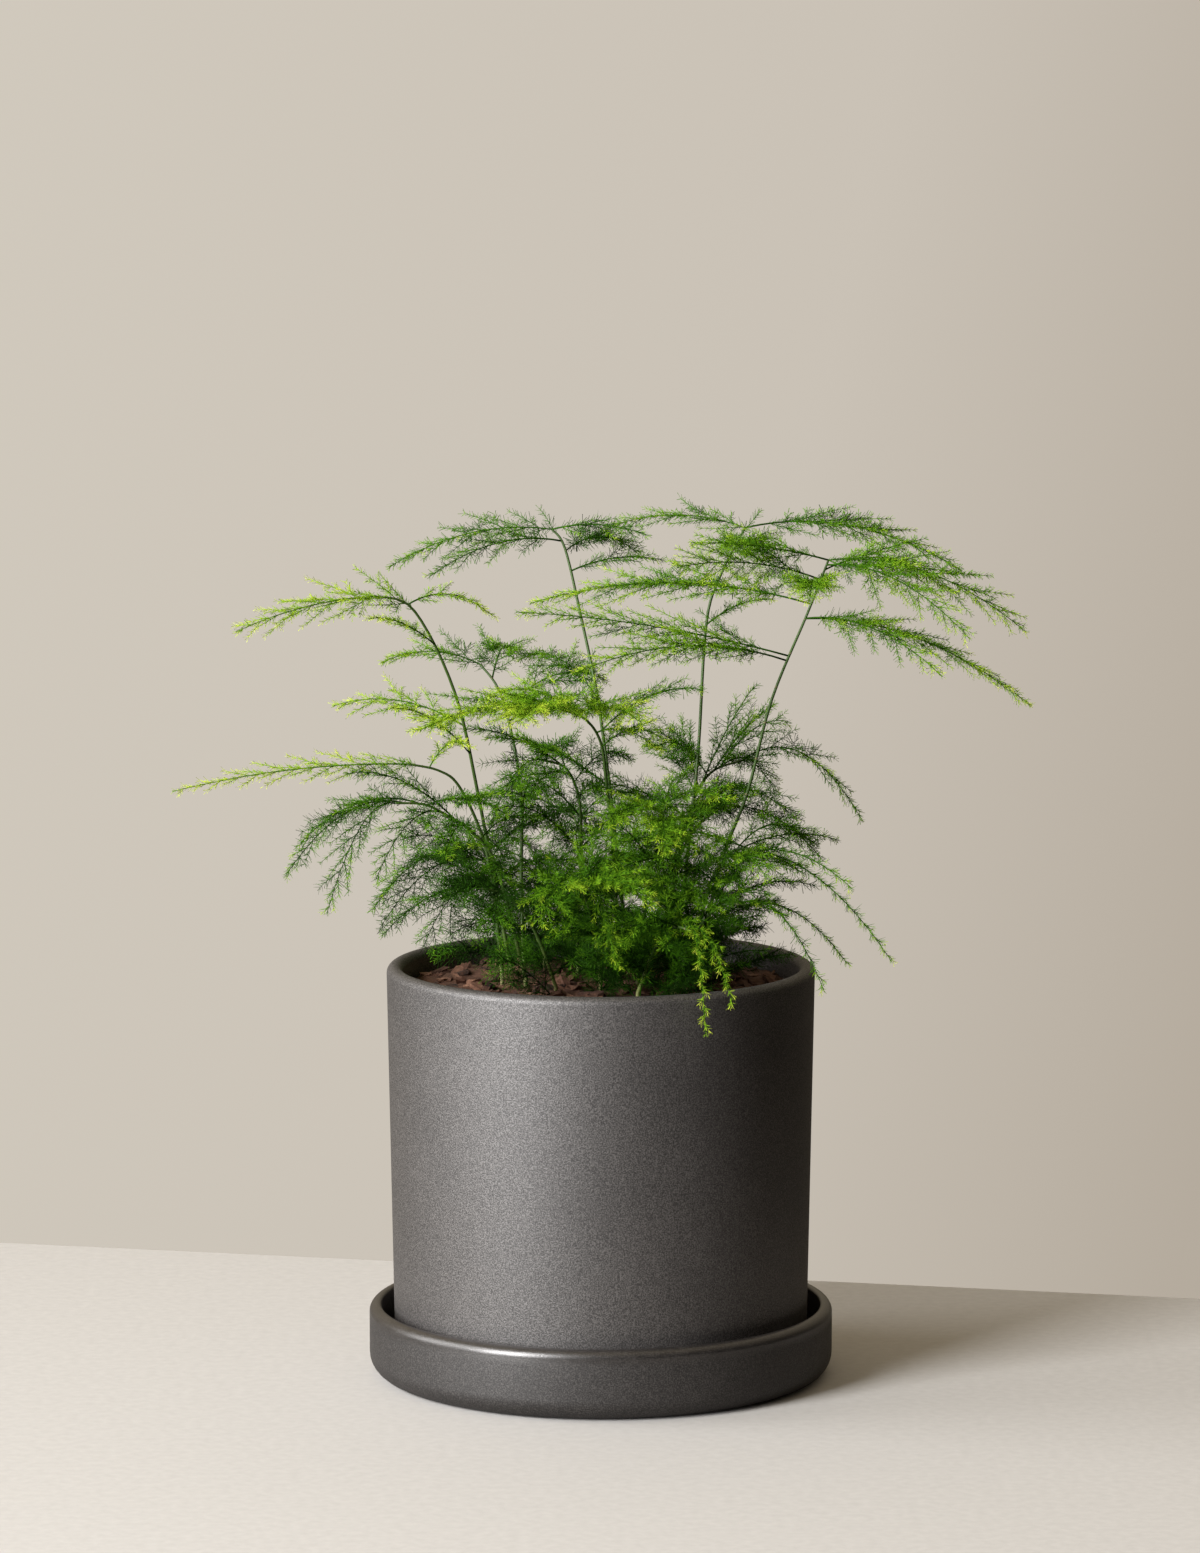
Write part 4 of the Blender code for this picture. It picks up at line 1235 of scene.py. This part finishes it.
def shoot_ribs(stem, count, limit, chance):
    """The ribs of extra shoots that leave a stem on all sides, none of them out past the limit."""
    turn = math.atan2(stem[0].y, stem[0].x) + chance.gauss(0, FIRST_SPREAD)
    ribs = []
    for i in range(count):
        share = between(SHOOT_LEAVES, (i + 0.5) / count)
        start, _ = stations(stem, [share])[0]
        angle = turn + i * GOLDEN_ANGLE
        length = chance.uniform(*SHOOT_LENGTH)
        reach = Vector((math.cos(angle), math.sin(angle), chance.uniform(*SHOOT_RISE))) * length
        tip = start + reach
        out = Vector((tip.x, tip.y, 0))
        if out.length > limit:
            tip -= out * (1 - limit / out.length)
        rise = BOWL_RISE * (min(out.length, limit) / POT_TOP_RADIUS) ** 4
        floor = SHOOT_FLOOR + rise + FRONT_SLOPE * max(0, -tip.y)
        tip.z = min(BUSH_TOP, max(floor, tip.z))
        ribs.append(rib_path(start, tip, chance.uniform(*SHOOT_ARCH) * length))
    return ribs


print(sum(count for count, _ in LOW_FRONDS.values()), "extra shoots")

# %% [markdown]
# ### Growing every frond
#
# A real frond is one shoot from the root stock, so each becomes one piece. Its limbs are curves with a
# bevel, because a curve gives an even tube along any path, and they are made a mesh and joined to the
# needles at the end. The plan of the sprays and shoots is drawn apart from the growth of their tufts, so
# that a change of tufts moves no shoot. The sprays turn their flat sides a little to the front, towards
# the light, as leaves do.

# %% Grow every frond
PLAN_SEED = 400
STEM_RADIUS = (0.75 * MM, 0.42 * MM)
STEM_FEATHERED = 0.95  # where the table names no other share
ROLL_SPREAD = math.radians(8)
LIGHT_ROLL = math.radians(20)  # the most that a flat side turns to the front
SHOOT_ROLL_SPREAD = math.radians(35)
BRACT_SPACING = 15 * MM
BRACT_RANGE = (0.3, 0.95)
BRACT_LENGTH = 2.4 * MM
BRACT_WIDTH = 1.25  # of the stem's
BRACT_SIDES = 6
BRACT_LEAN = math.radians(9)
LIMB_WELD = 0.001 * MM


def limb_tubes(curve, youth):
    """Turns a curve into tubes with closed ends, whose points carry the youth value."""
    guide = link_object(curve.name, curve)
    bpy.context.view_layer.update()
    tubes = bpy.data.meshes.new_from_object(guide.evaluated_get(bpy.context.evaluated_depsgraph_get()))
    bpy.data.objects.remove(guide)
    bpy.data.curves.remove(curve)
    bm = bmesh.new()
    bm.from_mesh(tubes)
    bpy.data.meshes.remove(tubes)
    bmesh.ops.remove_doubles(bm, verts=bm.verts, dist=LIMB_WELD)
    paint_points(bm, "youth", lambda point: youth)
    return bm


def join_limbs(growth, bm):
    """Adds limbs to the frond's needles."""
    mesh = mesh_from(bm, growth.name + "_limbs")
    growth.needles.from_mesh(mesh)
    bpy.data.meshes.remove(mesh)


def grow_stem(growth, stem):
    """The stem's tube, and the small dry bracts that sit at its joints."""
    curve = new_curve(growth.name + "_stem", STEM_ROUNDNESS)
    add_tube(curve, stem, STEM_RADIUS)
    bm = limb_tubes(curve, 0)
    youth = bm.verts.layers.float["youth"]
    shares = even_shares(path_length(stem), BRACT_SPACING, *BRACT_RANGE)
    for share, (place, along) in zip(shares, stations(stem, shares)):
        grow = Matrix.Translation(place) @ along.to_track_quat("Z", "Y").to_matrix().to_4x4()
        grow @= Matrix.Rotation(growth.chance.uniform(0, math.tau), 4, "Z")
        grow @= Matrix.Rotation(BRACT_LEAN, 4, "Y") @ Matrix.Translation((0, 0, BRACT_LENGTH / 2))
        radii = (BRACT_WIDTH * between(STEM_RADIUS, share), 0)
        for vertex in add_cone(bm, BRACT_SIDES, radii, BRACT_LENGTH, grow):
            vertex[youth] = 1
    for face in bm.faces:
        face.smooth = True
        face.material_index = 1
    join_limbs(growth, bm)


def stem_tail(stem, first):
    """The stem's last part, which carries branches as a rib does."""
    shares = [between((first, 1), i / LIMB_STEPS) for i in range(LIMB_STEPS + 1)]
    return [place for place, _ in stations(stem, shares)]


def grow_frond(name, frond, seed):
    """One whole frond as a piece: its sprays, its low shoots and its stem. Returns its number of tufts."""
    growth = Growth(name, seed)
    plan = random.Random(PLAN_SEED + seed)
    stem = stem_path(frond)
    for i, (share, tip, arch, half_width) in enumerate(frond["sprays"]):
        start, _ = stations(stem, [share])[0]
        rib = rib_path(start, Vector(tip) * MM, arch * MM)
        if i == 0:
            rib = [*stem_tail(stem, frond.get("feathered", STEM_FEATHERED))[:-1], *rib]
        across = (rib[-1] - start).cross(UP).normalized()
        roll = plan.gauss(-across.y * LIGHT_ROLL, ROLL_SPREAD)
        grow_spray(growth, rib, half_width * MM, roll, frond["youth"])
    ribs = shoot_ribs(stem, *LOW_FRONDS.get(name, (0, 0)), plan)
    for i, rib in enumerate(ribs):
        half_width = plan.uniform(*SHOOT_HALF_WIDTH)
        youth = frond.get("low_youth", frond["youth"]) * between(SHOOT_TONE_BY_HEIGHT, i / len(ribs))
        grow_spray(growth, rib, half_width, plan.gauss(0, SHOOT_ROLL_SPREAD), youth)
    for age, curve in zip(ages, growth.limbs):
        if curve.splines:
            join_limbs(growth, limb_tubes(curve, age))
        else:
            bpy.data.curves.remove(curve)
    grow_stem(growth, stem)
    piece = finish_piece(growth.needles, name + "_feathers", needle_green, smooth=False)
    piece.data.materials.append(stem_green)
    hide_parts(name)
    return growth.tufts


total = sum(grow_frond(name, frond, seed) for seed, (name, frond) in enumerate(FRONDS.items()))
for tuft in [tuft for kind in tufts.values() for level in kind for tuft in level]:
    bpy.data.meshes.remove(tuft)
print("stamped", total, "tufts")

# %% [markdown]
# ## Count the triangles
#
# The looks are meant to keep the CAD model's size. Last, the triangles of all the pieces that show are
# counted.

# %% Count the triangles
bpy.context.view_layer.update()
triangles = sum(count_triangles(piece.data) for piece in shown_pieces() if piece.type == "MESH")
print("triangles in all:", triangles)
